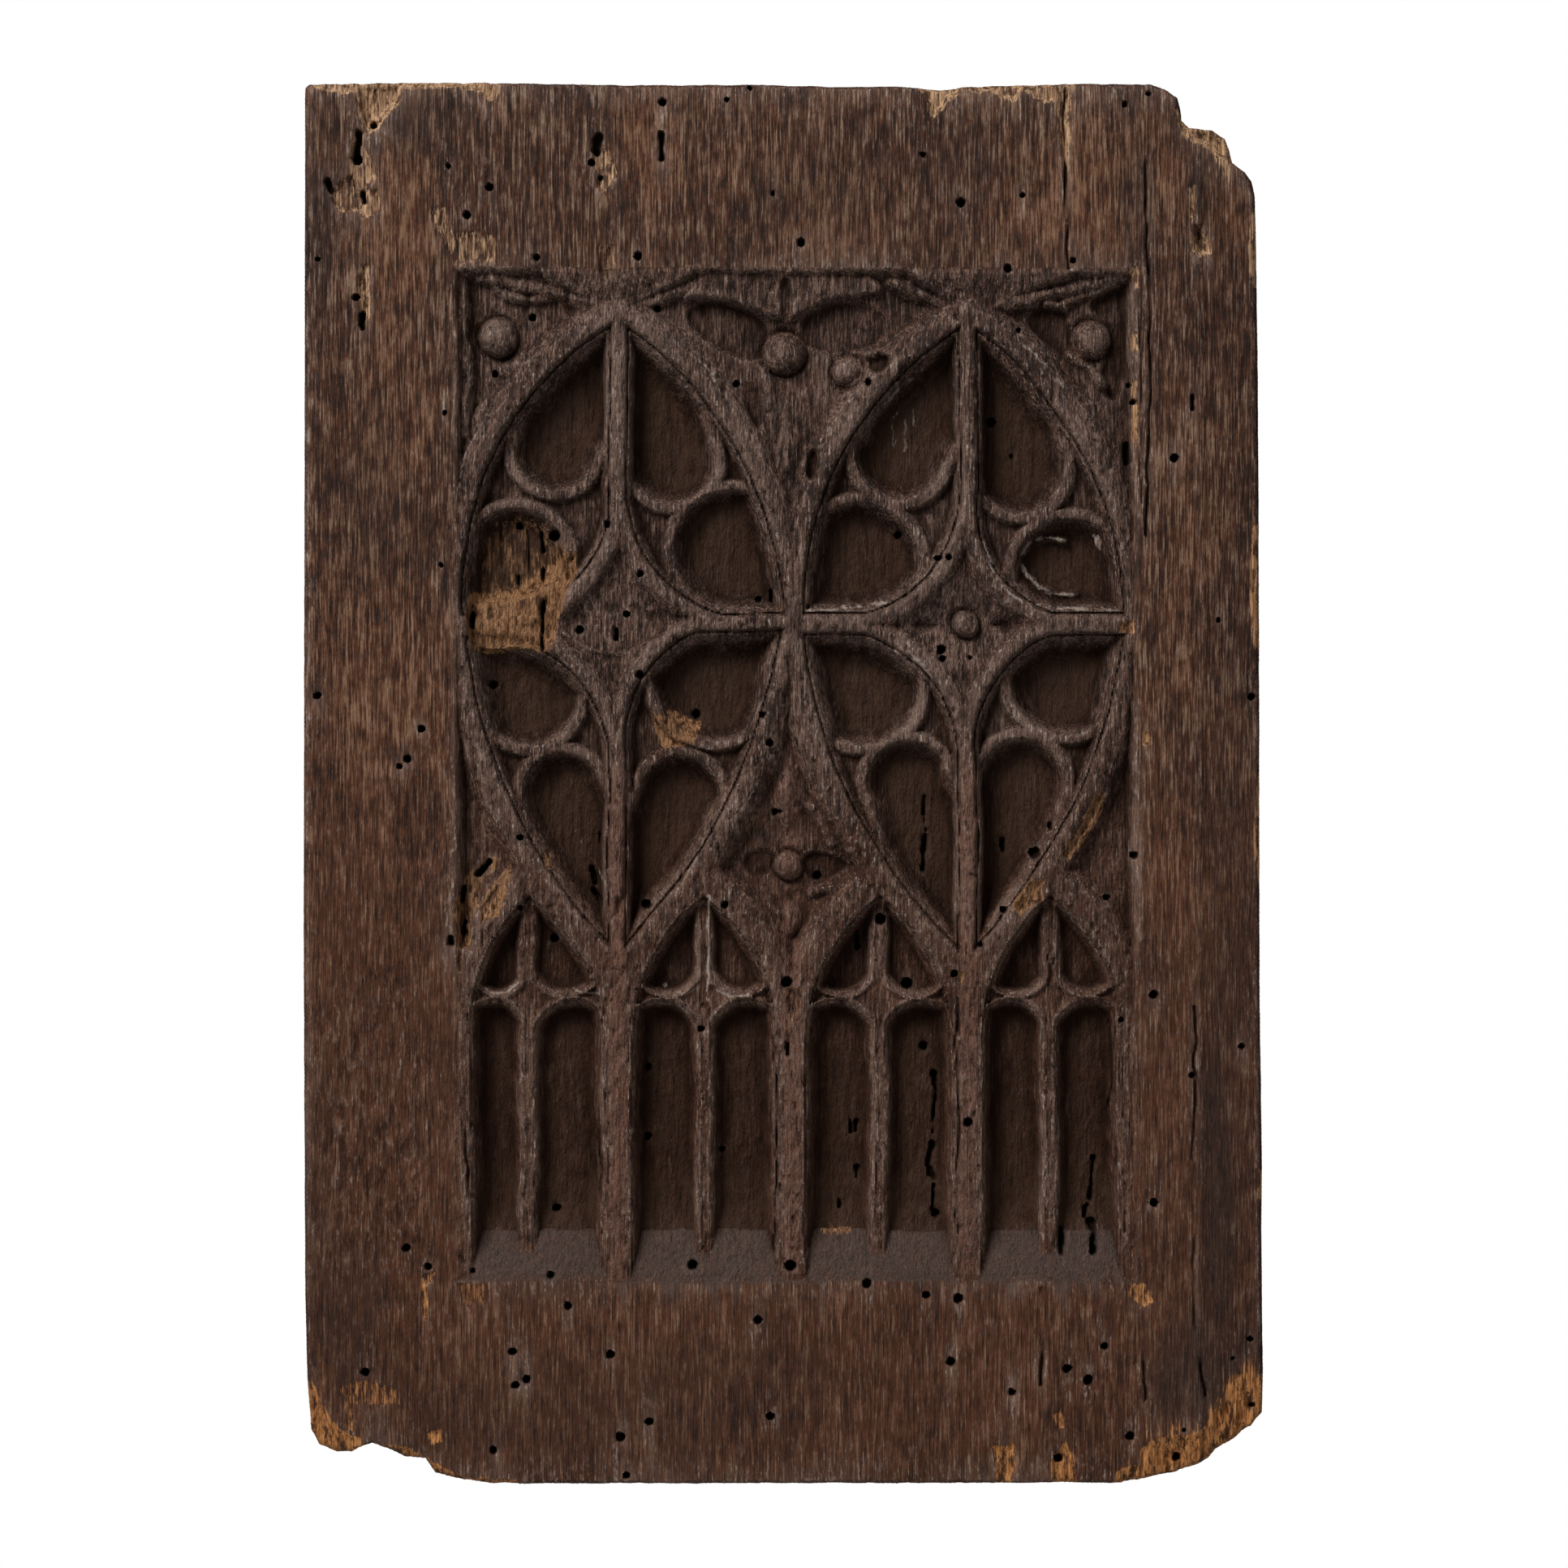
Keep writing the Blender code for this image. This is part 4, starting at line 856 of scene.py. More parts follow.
def breakAway(sunk, slope, rough, bareness, path):
    path = traced(path)
    part = near(path, 3)
    within = insideBy(trueX[part], trueZ[part], path)
    within = within + breaks["ragged"] * grained(breaks["raggedEvery"], 3, 21, part)
    splinter = rough * grained(breaks["splinterEvery"], 3, 22, part)
    floor = np.clip(within * slope, 0, sunk) + splinter * smooth(within)
    broken = np.maximum(depth[part], np.minimum(depth[part] + floor, floor + breaks["sharedDepth"]))
    depth[part] = np.where(within > 0, broken, depth[part])
    bare[part] = np.maximum(bare[part], bareness * smooth(within / breaks["bareEdge"] + 0.4))


def sinkHoles():
    scale = photo["pixelsPerMm"]
    for across, down, radius in wormHoles["inPhoto"]:
        place = fromPhoto(across, down)
        size = radius * wormHoles["share"] / scale
        part = near([place], size + 2)
        ragged = wormHoles["ragged"] * grained(wormHoles["raggedEvery"], 1, 31, part)
        away = np.hypot(trueX[part] - place[0], trueZ[part] - place[1])
        within = smooth((size - away + ragged) / wormHoles["edge"] + 0.5)
        depth[part] += wormHoles["depth"] * within
        holes[part] = np.maximum(holes[part], within)
    for halfWidth, path in wormHoles["slotsInPhoto"]:
        path = traced(path)
        part = near(path, 4)
        ragged = wormHoles["slotRagged"] * grained(wormHoles["slotRaggedEvery"], 2, 32, part)
        size = wormHoles["share"] * halfWidth / scale
        away = pathDistance(trueX[part], trueZ[part], path)
        within = smooth((size - away + ragged) / wormHoles["slotEdge"] + 0.2)
        depth[part] += wormHoles["slotDepth"] * within
        holes[part] = np.maximum(holes[part], within)


splits = {
    "wobble": 0.5,          # a split wanders this far, and closes up here and there
    "wobbleEvery": (40, 5),
    "parted": 1.2,
    "partedEvery": (60, 9),
    "closed": 0.85,
    "edge": 0.4,
    "open": 0.6,            # share of the traced depth
    # how much painted shade darkens a split
    "dark": 0.4,
}


def splitGrain():
    for halfWidth, sunk, path in cracksInPhoto:
        path = traced(path)
        part = near(path, 2)
        wobble = splits["wobble"] * grained(splits["wobbleEvery"], 1, 33, part)
        parted = smooth(splits["closed"] + splits["parted"] * grained(splits["partedEvery"], 1, 34, part))
        away = pathDistance(trueX[part] + wobble, trueZ[part], path)
        within = parted * smooth((halfWidth - away) / splits["edge"] + 0.5)
        depth[part] += splits["open"] * sunk * within
        holes[part] = np.maximum(holes[part], splits["dark"] * within)


# The right side is rubbed down towards the edge, past an old split
rubbed = {"from": 112.5, "toEdge": 2.6, "scarp": 0.5, "steep": 8, "wander": 0.8, "wanderEvery": (30, 24)}
wandered = trueX + rubbed["wander"] * grained(rubbed["wanderEvery"], 1, 11)
across = (wandered - rubbed["from"]) / (high.x - rubbed["from"])
sloping = (rubbed["toEdge"] - rubbed["scarp"]) * np.clip(across, 0, 1)
depth = depth + plain * (rubbed["scarp"] * smooth(across * rubbed["steep"]) + sloping)

# The left side is worn hollow beside the field
worn = {"place": (-96.5, -8), "halfWidth": 8, "halfHeight": 22, "depth": 1.2, "spread": 1.3}
wornX, wornZ = worn["place"]
fromWorn = np.hypot((trueX - wornX) / worn["halfWidth"], (trueZ - wornZ) / worn["halfHeight"])
depth = depth + plain * worn["depth"] * smooth(worn["spread"] - fromWorn)

for sizes in brokenInPhoto:
    breakAway(*sizes)
sinkHoles()
splitGrain()

# Corners of the face are rounded and ragged where they meet the edges
edges = {
    "round": 1.6,
    "drop": 1.5,
    "ragged": 0.5,
    "raggedEvery": (6, 9),
    "margin": 6,            # the distance to the outline is measured within this of the sides,
    "topRight": (40, 45),   # and within these of the broken corners
    "footLeft": (60, 30),
}
edgeTree = KDTree(len(outline))
for index, place in enumerate(outline):
    edgeTree.insert((place[0], place[1], 0), index)
edgeTree.balance()
fromLeft, fromRight = trueX - low.x, high.x - trueX
fromFoot, fromTop = trueZ - low.z, high.z - trueZ
nearEdge = np.minimum.reduce([fromLeft, fromRight, fromFoot, fromTop]) < edges["margin"]
nearEdge |= (fromRight < edges["topRight"][0]) & (np.minimum(fromFoot, fromTop) < edges["topRight"][1])
nearEdge |= (fromLeft < edges["footLeft"][0]) & (fromFoot < edges["footLeft"][1])
toEdge = np.full(x.shape, math.inf)
toEdge[nearEdge] = [edgeTree.find((px, pz, 0))[2] for px, pz in zip(trueX[nearEdge], trueZ[nearEdge])]
ragged = edges["round"] * (1 + edges["ragged"] * grained(edges["raggedEvery"], 3, 12))
depth = depth + edges["drop"] * smooth(1 - toEdge / np.maximum(ragged, 0.3)) ** 2
depth = np.clip(depth, 0.05, 16)
print("wear, breaks and wormholes cut")


# Mean over a square of this half width, taken twice to make it soft
def blurred(field, reach):
    cells = max(1, round(reach / step))
    for _ in range(2):
        for axis in (0, 1):
            widths = [(0, 0), (0, 0)]
            widths[axis] = (cells + 1, cells)
            total = np.cumsum(np.pad(field, widths, mode="edge"), axis=axis)
            size = 2 * cells + 1
            ahead = np.take(total, range(size, total.shape[axis]), axis=axis)
            behind = np.take(total, range(0, total.shape[axis] - size), axis=axis)
            field = (ahead - behind) / size
    return field


# Dark stains, and broad patches that make the board darker towards its foot: middle and half sizes on the
# photograph, and how strong
stainsInPhoto = (
    (510, 150, 50, 45, 0.8), (1466, 1690, 62, 80, 0.75), (1010, 240, 90, 70, 0.35),
    (1400, 260, 30, 90, 0.4), (390, 250, 26, 120, 0.5), (388, 1500, 30, 260, 0.35),
    (1515, 1150, 36, 560, 0.35), (700, 1740, 330, 90, 0.3), (460, 600, 60, 120, 0.3),
    (1200, 200, 50, 60, 0.35), (1490, 220, 46, 20, 0.8), (880, 1700, 260, 60, 0.3),
    (430, 1620, 50, 110, 0.45), (1500, 1470, 26, 260, 0.75), (1490, 1680, 70, 60, 0.5),
    (1160, 742, 90, 34, 0.3),
)
# Worn edges and scratches that show pale, and painted highlights along rims and ridges: half width in
# pixels, strength, path on the photograph
paleInPhoto = (
    (2.2, 0.68, (
        (1310, 664), (1290, 660), (1268, 668), (1259, 684), (1264, 704), (1280, 720), (1296, 730),
        (1326, 732),
    )),
    (3.5, 0.9, ((1352, 660), (1357, 676))),
    (2.0, 0.9, ((992, 752), (1030, 750), (1060, 745), (1092, 741))),
    (1.6, 0.8, ((1212, 668), (1222, 700), (1240, 728), (1262, 742), (1300, 748), (1380, 752))),
    (1.4, 0.9, ((808, 1575), (828, 1573))),
    (2.0, 0.62, ((1100, 510), (1101, 545))), (2.0, 0.62, ((1108, 505), (1108, 540))),
    (2.0, 0.62, ((1116, 512), (1117, 552))), (2.0, 0.62, ((1126, 500), (1127, 530))),
    (1.6, 0.6, ((1078, 520), (1105, 480), (1146, 446))),
    (1.6, 0.7, ((1415, 1690), (1398, 1712), (1380, 1738), (1360, 1758))),
    (1.6, 0.9, ((852, 436), (866, 446), (880, 462), (884, 480))),
    (1.6, 0.9, ((1262, 424), (1290, 450), (1312, 478))),
    (1.6, 0.7, ((588, 1212), (604, 1224), (622, 1224), (638, 1212))),
    (1.6, 0.6, ((700, 1214), (716, 1224), (738, 1224), (750, 1210))),
    (1.6, 0.8, ((810, 1208), (826, 1222), (848, 1224), (866, 1212))),
    (1.6, 0.8, ((882, 1220), (900, 1228), (922, 1226))),
    (1.6, 1.0, ((873, 1102), (873, 1150), (872, 1235))),
    (1.6, 0.8, ((1100, 800), (1130, 812), (1150, 836))),
    (1.6, 0.5, ((700, 1008), (730, 1060), (756, 1108))),
    (1.6, 0.6, ((820, 1120), (860, 1056), (920, 990), (950, 930))),
    (1.6, 0.6, ((640, 450), (690, 420), (740, 392))),
    (1.6, 0.6, ((560, 620), (572, 560), (600, 508))),
    (2.0, 0.6, ((556, 1670), (570, 1654))),
)
tint = {
    "paleRagged": 1.3,
    "paleEvery": (1.6, 2.4),
    "paleReach": 1.5,
    "stainRagged": 0.5,
    "stainEvery": (5, 9),
    "stainReach": 1.15,
    "stainSoft": 0.7,
    "band": 0.55,           # how dark the worn band across the top is, in patches
    "bandHalf": 4,
    "bandEvery": (4, 4),
    # how dark the painted shade in the deepest gouge hollows is
    "scallops": 0.35,
    # The shafts' tops below the stars are painted warmer and paler: rubbed wood and a painted highlight
    # along them
    "glowReach": 1.7,       # the shafts are rubbed warmer and paler below the stars
    "glowWide": 1.9,
    "glowTop": 12,
    "glowFade": 14,
}
pale = np.zeros(x.shape)
for halfWidth, strength, path in paleInPhoto:
    path = traced(path)
    part = near(path, 3)
    away = pathDistance(trueX[part], trueZ[part], path) * photo["pixelsPerMm"] / halfWidth
    away = away + tint["paleRagged"] * grained(tint["paleEvery"], 3, 73, part)
    pale[part] = np.maximum(pale[part], strength * smooth(tint["paleReach"] - away))

stain = np.zeros(x.shape)
uneven = tint["stainRagged"] * grained(tint["stainEvery"], 3, 71)
for across, down, halfAcross, halfDown, strength in stainsInPhoto:
    px, pz = fromPhoto(across, down)
    away = np.hypot((trueX - px) / halfAcross, (trueZ - pz) / halfDown) * photo["pixelsPerMm"]
    within = smooth((tint["stainReach"] - away + uneven) / tint["stainSoft"])
    stain = np.maximum(stain, strength * within)

patches = smooth(0.7 + grained(tint["bandEvery"], 3, 74))
stain = np.maximum(stain, plain * tint["band"] * smooth(1 - band / tint["bandHalf"]) * patches)
# Painted shade in the deepest gouge hollows low on the left, joined to the stains
stain = np.maximum(stain, tint["scallops"] * smooth((scalloped - 0.3) / 0.5))

shaftGlow = np.zeros(x.shape)
belowStars = smooth((tint["glowTop"] - trueZ) / tint["glowFade"])
for share in lights["shafts"][1:4]:
    beside = np.abs(trueX - fieldX(share))
    rubbedWarm = smooth(tint["glowReach"] - beside / tint["glowWide"])
    shaftGlow = np.maximum(shaftGlow, rubbedWarm * belowStars * inField)

# What the wood's colour follows: how far each place stands under or over the ground near it, evened
# out over so many millimetres; what lies low takes dirt and painted shade, what stands up painted
# highlights. A pair is how much one of them counts, and the height that counts fully
follow = {
    "fine": 0.9,
    "wide": 3.5,
    "floorEven": 1.3,
    "floorFrom": 7.6,
    "hollowWide": (0.55, 2.6),
    "hollowDeep": (0.75, 4),
    "hollowFrom": 4.5,
    "hollowFine": (0.35, 0.6),
    "crestFine": (0.7, 0.3),
    "crestWide": (0.5, 2.0),
}


def counts(kind, height):
    share, full = follow[kind]
    return share * smooth(height / full)


fine = depth - blurred(depth, follow["fine"])
wide = depth - blurred(depth, follow["wide"])
behindSill = smooth(pastSill / 0.8) * smooth((depth - 5.4) / 0.8) * smooth((20 - pastSill) / 8)
sunkFloor = smooth((blurred(depth, follow["floorEven"]) - follow["floorFrom"]) / 1.5)
floors = np.maximum(sunkFloor * inField, behindSill)
# Dirt and painted shade: creases, the feet of walls and deep places darken the colour
hollow = counts("hollowWide", wide) + counts("hollowDeep", depth - follow["hollowFrom"])
hollow = hollow + counts("hollowFine", fine)
fields = {
    "hollow": np.clip(hollow, 0, 1),
    "floors": floors,
    "stain": stain,
    "pale": pale,
    "shaftGlow": shaftGlow,
    # "crest" marks what stands over its neighbours, for bloom and painted highlights
    "crest": np.clip(counts("crestFine", -fine) + counts("crestWide", -wide), 0, 1),
    "bare": bare * (1 - 0.8 * holes),
    "holes": holes,
    "inField": inField,
    "dustAndLitTop": onSill,
    "redder": np.maximum(
        smooth((fieldLeft + 6 - trueX) / 20) * smooth((100 - trueZ) / 60),
        smooth((fieldFoot + 95 - trueZ) / 90) * smooth((112 - trueX) / 20),
    ),
    "orange": 0.5 * smooth((140 - trueZ) / 70) + 0.5 * smooth((-110 - trueZ) / 40),
    "upField": smooth((trueZ + 50) / 90),
}

# The plain back: spacing of its grid in steps of the front's, and how uneven the saw left it
back = {"step": 4, "least": 0.35, "wave": 0.25, "waveEvery": (30, 55), "grain": 0.1, "grainEvery": (6, 90)}


# Closed slab: the carved front, four sides and a plain back
def frontSurface():
    mesh = bpy.data.meshes.new("carvedOakPanel")
    front = np.stack([trueX, faceY + depth, trueZ], axis=-1).reshape(-1, 3)
    backX = np.unique(np.append(lineX[::back["step"]], lineX[-1]))
    backZ = np.unique(np.append(lineZ[::back["step"]], lineZ[-1]))
    gridX, gridZ = np.meshgrid(backX, backZ)
    wide, tall = back["waveEvery"]
    uneven = back["least"] + back["wave"] * noise(gridX / wide, gridZ / tall, 41)
    wide, tall = back["grainEvery"]
    uneven = uneven + back["grain"] * noise(gridX / wide, gridZ / tall, 42)
    rear = np.stack([gridX, backY - uneven, gridZ], axis=-1).reshape(-1, 3)
    count = len(front)
    faces = []
    for start, wide, tall, flip in ((0, columns, rows, False), (count, len(backX), len(backZ), True)):
        cells = (np.arange(tall - 1)[:, None] * wide + np.arange(wide - 1)[None, :]).ravel() + start
        quad = np.stack([cells, cells + 1, cells + wide + 1, cells + wide], axis=1)
        faces.append(quad[:, ::-1] if flip else quad)
    faces = np.concatenate(faces)
    frontRim = rimOf(0, columns, rows)
    backRim = rimOf(count, len(backX), len(backZ))
    vertices = np.concatenate([front, rear]) / 1000
    polygons = [list(map(int, face)) for face in faces]
    for frontSide, backSide in zip(frontRim, backRim):
        polygons.append(frontSide[::-1] + backSide)
    mesh.from_pydata(vertices.tolist(), [], polygons)
    mesh.validate()
    return mesh


# A grid's border as its four sides, in order round it
def rimOf(start, wide, tall):
    foot = [start + i for i in range(wide)]
    right = [start + i * wide + wide - 1 for i in range(tall)]
    top = [start + (tall - 1) * wide + i for i in reversed(range(wide))]
    left = [start + i * wide for i in reversed(range(tall))]
    return [foot, right, top, left]


sides = {
    "layers": 12,           # through the board's thickness
    "proud": 3,             # the block stands this far out of the board's face and back
    "rough": 0.35,
    "roughEvery": (2.6, 5),
    "alongGrain": 0.25,     # share of the roughness where a side runs along the grain
    "bare": 0.25,           # how much raw wood shows on the back and sides
}


# The board's outline pushed through its thickness, its sides rough as old sawn and split wood
def outlineBlock():
    bm = bmesh.new()
    rings = []
    count = len(outline)
    for layer in range(sides["layers"] + 1):
        y = faceY - sides["proud"] + (backY - faceY + 2 * sides["proud"]) * layer / sides["layers"]
        ring = []
        for index, (px, pz) in enumerate(outline):
            before, after = outline[index - 1], outline[(index + 1) % count]
            tangent = Vector((after[0] - before[0], after[1] - before[1])).normalized()
            inward = Vector((tangent.y, -tangent.x))
            endGrain = sides["alongGrain"] + (1 - sides["alongGrain"]) * abs(tangent.x)
            wide, deep = sides["roughEvery"]
            uneven = float(layered(np.array((px + pz) / wide), np.array(y / deep), 3, 51))
            rough = sides["rough"] * endGrain * (1 + uneven)
            rough = min(max(rough, 0), 1)
            ring.append(bm.verts.new((px + inward.x * rough, y, pz + inward.y * rough)))
        rings.append(ring)
    for upper, lower in zip(rings, rings[1:]):
        for i in range(count):
            bm.faces.new((upper[i - 1], upper[i], lower[i], lower[i - 1]))
    bm.faces.new(rings[0])
    bm.faces.new(rings[-1][::-1])
    bmesh.ops.recalc_face_normals(bm, faces=bm.faces)
    bmesh.ops.scale(bm, verts=bm.verts, vec=(0.001, 0.001, 0.001))
    mesh = bpy.data.meshes.new("outline")
    bm.to_mesh(mesh)
    bm.free()
    return mesh


# The piece's mesh with its modifiers made real
def applied(piece):
    seen = piece.evaluated_get(bpy.context.evaluated_depsgraph_get())
    mesh = bpy.data.meshes.new_from_object(seen)
    piece.modifiers.clear()
    return mesh


panel = bpy.data.objects.new("carvedOakPanel", frontSurface())
block = bpy.data.objects.new("outlineBlock", outlineBlock())
bpy.context.collection.objects.link(panel)
bpy.context.collection.objects.link(block)
cut = panel.modifiers.new("outline", "BOOLEAN")
cut.operation = "INTERSECT"
cut.solver = "MANIFOLD"
cut.object = block
panel.data = applied(panel)
bpy.data.objects.remove(block, do_unlink=True)
triangles = sum(len(face.vertices) - 2 for face in panel.data.polygons)
print("board cut to its outline,", triangles, "triangles")

if triangles > board["mostTriangles"]:
    thin = panel.modifiers.new("thin", "DECIMATE")
    thin.ratio = board["mostTriangles"] / triangles
    panel.data = applied(panel)
mesh = panel.data
mesh.name = "carvedOakPanel"
print("surface thinned to", sum(len(face.vertices) - 2 for face in mesh.polygons), "triangles")


# A field's value between the grid's places
def readField(field, px, pz):
    column = np.clip((px - low.x) / (lineX[1] - lineX[0]), 0, columns - 1.001)
    row = np.clip((pz - low.z) / (lineZ[1] - lineZ[0]), 0, rows - 1.001)
    left, foot = column.astype(int), row.astype(int)
    across, along = column - left, row - foot
    lower = field[foot, left] * (1 - across) + field[foot, left + 1] * across
    upper = field[foot + 1, left] * (1 - across) + field[foot + 1, left + 1] * across
    return lower * (1 - along) + upper * along


places = np.empty(len(mesh.vertices) * 3)
mesh.vertices.foreach_get("co", places)
places = places.reshape(-1, 3) * 1000
surface = readField(depth, places[:, 0], places[:, 2]) + faceY
onFront = smooth(1.5 - np.abs(places[:, 1] - surface))
for name, field in fields.items():
    values = readField(field, places[:, 0], places[:, 2]) * onFront
    if name == "bare":
        values = np.maximum(values, sides["bare"] * (1 - onFront))
    mesh.attributes.new(name, "FLOAT", "POINT").data.foreach_set("value", values.astype(np.float32))
mesh.shade_smooth()
mesh.set_sharp_from_angle(angle=math.radians(60))
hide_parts("carved_panel")
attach(panel, "root")
print("carved panel made")


oak = {
    "darkest": (0.010, 0.005, 0.0035),
    "marginDark": (0.020, 0.0085, 0.005),
    "margin": (0.077, 0.0275, 0.0125),
    "marginLight": (0.25, 0.165, 0.112),
    "marginRed": (0.088, 0.030, 0.0125),
    "marginGlow": (0.23, 0.115, 0.060),
    "carvedDark": (0.014, 0.0075, 0.0055),
    "carved": (0.075, 0.038, 0.026),
    "carvedLight": (0.225, 0.148, 0.115),
    # pale flecks and worn edges, also the colour of painted highlights and glints
    "fleck": (0.40, 0.32, 0.27),
    # dirt darkened further as painted shade, for what lies low
    "dirtAndShade": (0.017, 0.0078, 0.0046),
    "floor": (0.053, 0.0275, 0.0170),
    "shaft": (0.185, 0.088, 0.060),
    "stained": (0.019, 0.0125, 0.0105),
    # dust, and painted light where the sill faces up
    "dustAndLitTop": (0.074, 0.050, 0.041),
    "rust": (0.082, 0.027, 0.0145),
    "raw": (0.21, 0.11, 0.058),
    "rawPale": (0.56, 0.35, 0.20),
    "rawOrange": (0.24, 0.082, 0.022),
    "rawGold": (0.55, 0.25, 0.088),
    "rawDark": (0.05, 0.021, 0.010),
    "fibre": (2200, 2200, 120),      # how fine the grain is across, through and along the board
    "pore": (2600, 2600, 190),
    "streak": (640, 500, 34),
    "cloud": (42, 42, 22),
    "mottle": (330, 330, 190),
    "speck": (1500, 1500, 560),
    "torn": (640, 640, 230),
    "bump": 1.0,
    "bumpHeight": 0.0016,
    "bumpGrain": 0.3,
    "specular": 0.2,
    "hollowSpecular": 0.04,
}

# When each mark of age, painted shade and painted highlight comes in: between these two values of its
# noise or mask and, where it isn't from none to all, how much of it shows at either end
ageAndPaintedLight = {
    "darkTone": (0.41, 0.5),
    "lightTone": (0.515, 0.63),
    "contrastUp": (0, 1, 0.88, 1.5),
    "rustyClouds": (0.45, 0.58, 0, 0.85),
    "rustySpots": (0.54, 0.64, 0, 0.75),
    "greyClouds": (0.36, 0.62),
    "greyUp": (0, 1, 0.1, 0.6),
    "flecks": (0.55, 0.66),
    "chipsAndHighlights": (0.55, 0.64),
    "rubbedShafts": (0.4, 0.6, 0.25, 0.8),
    "checksAndPitShade": (0.43, 0.34),
    "checksAndPitShadeInField": (0, 1, 0.35, 0.8),
    "pores": (0.6, 0.7, 0, 0.75),
    "floorStreaks": (0.36, 0.6, 0.25, 0.95),
    "dustAndLitTop": (0.3, 0.6, 0.35, 0.85),
    "rawFibres": (0.4, 0.6),
    "rawPitsAndShade": (0.505, 0.405, 0, 0.92),
    "bareRagged": (1.16, 1.46),
    "bareAtAll": (0.02, 0.2),
    "paleWearAndHighlight": (0.8, 1.25, 0, 0.9),
    "roughness": (0.35, 0.65, 0.72, 0.5),
    "bumpInField": (0, 1, 0.25, 1.0),
    "toneShares": (0.46, 0.12, 0.18, 0.24),     # of the grain, streaks, clouds and mottle in the tone
    "fleckShares": (0.5, 0.5),                  # of the specks and the grain
    "raggedShares": (0.9, 0.7),                 # of the torn noise and the grain
    "fleckOnCrest": (0.95, 0.2),                # more on a crest, and how much anywhere
    "chipAndHighlightOnCrest": (0.85, 0.12),
    "redMargin": 0.8,
    "greyShare": 0.4,
    "bloomAndHighlight": 0.5,
    "stain": 0.75,
    "dirtAndShade": 0.88,
    "rawInField": 0.42,
    "paleWearAndHighlightSpeck": 0.9,
    "holes": 0.8,
}


# Short ways to add and join shader nodes
class Nodes:
    def __init__(self, tree):
        self.tree = tree
        self.tree.nodes.clear()

    def add(self, kind, **settings):
        node = self.tree.nodes.new(kind)
        for name, value in settings.items():
            if hasattr(node, name):
                setattr(node, name, value)
            else:
                node.inputs[name].default_value = value
        return node

    def join(self, start, end):
        self.tree.links.new(start, end)

    def attribute(self, name):
        return self.add("ShaderNodeAttribute", attribute_name=name).outputs["Fac"]

    # Noise stretched by a scale along each axis
    def texture(self, place, scale, detail=4, roughness=0.6):
        mapping = self.add("ShaderNodeMapping", Scale=scale)
        node = self.add("ShaderNodeTexNoise", Scale=1, Detail=detail, Roughness=roughness)
        self.join(place, mapping.inputs["Vector"])
        self.join(mapping.outputs["Vector"], node.inputs["Vector"])
        return node.outputs["Fac"]

    # Colour from dark through middle to light by the tone
    def shade(self, tone, dark, middle, light):
        shadow = self.mix(self.level(tone, *ageAndPaintedLight["darkTone"]), dark, middle)
        return self.mix(self.level(tone, *ageAndPaintedLight["lightTone"]), shadow, light)

    def level(self, value, start, end, least=0, most=1):
        node = self.add("ShaderNodeMapRange")
        for name, number in (("From Min", start), ("From Max", end), ("To Min", least), ("To Max", most)):
            node.inputs[name].default_value = number
        self.join(value, node.inputs["Value"])
        return node.outputs["Result"]

    def combine(self, kind, first, second):
        node = self.add("ShaderNodeMath", operation=kind)
        for socket, value in zip(node.inputs, (first, second)):
            if isinstance(value, (int, float)):
                socket.default_value = value
            else:
                self.join(value, socket)
        return node.outputs["Value"]

    def times(self, first, second):
        return self.combine("MULTIPLY", first, second)

    def plus(self, first, second):
        return self.combine("ADD", first, second)

    def mix(self, amount, first, second):
        node = self.add("ShaderNodeMix", data_type="RGBA")
        sockets = [node.inputs[i] for i in (0, 6, 7)]
        for socket, value in zip(sockets, (amount, first, second)):
            if isinstance(value, tuple):
                socket.default_value = (*value, 1)
            elif isinstance(value, (int, float)):
                socket.default_value = value
            else:
                self.join(value, socket)
        return node.outputs[2]


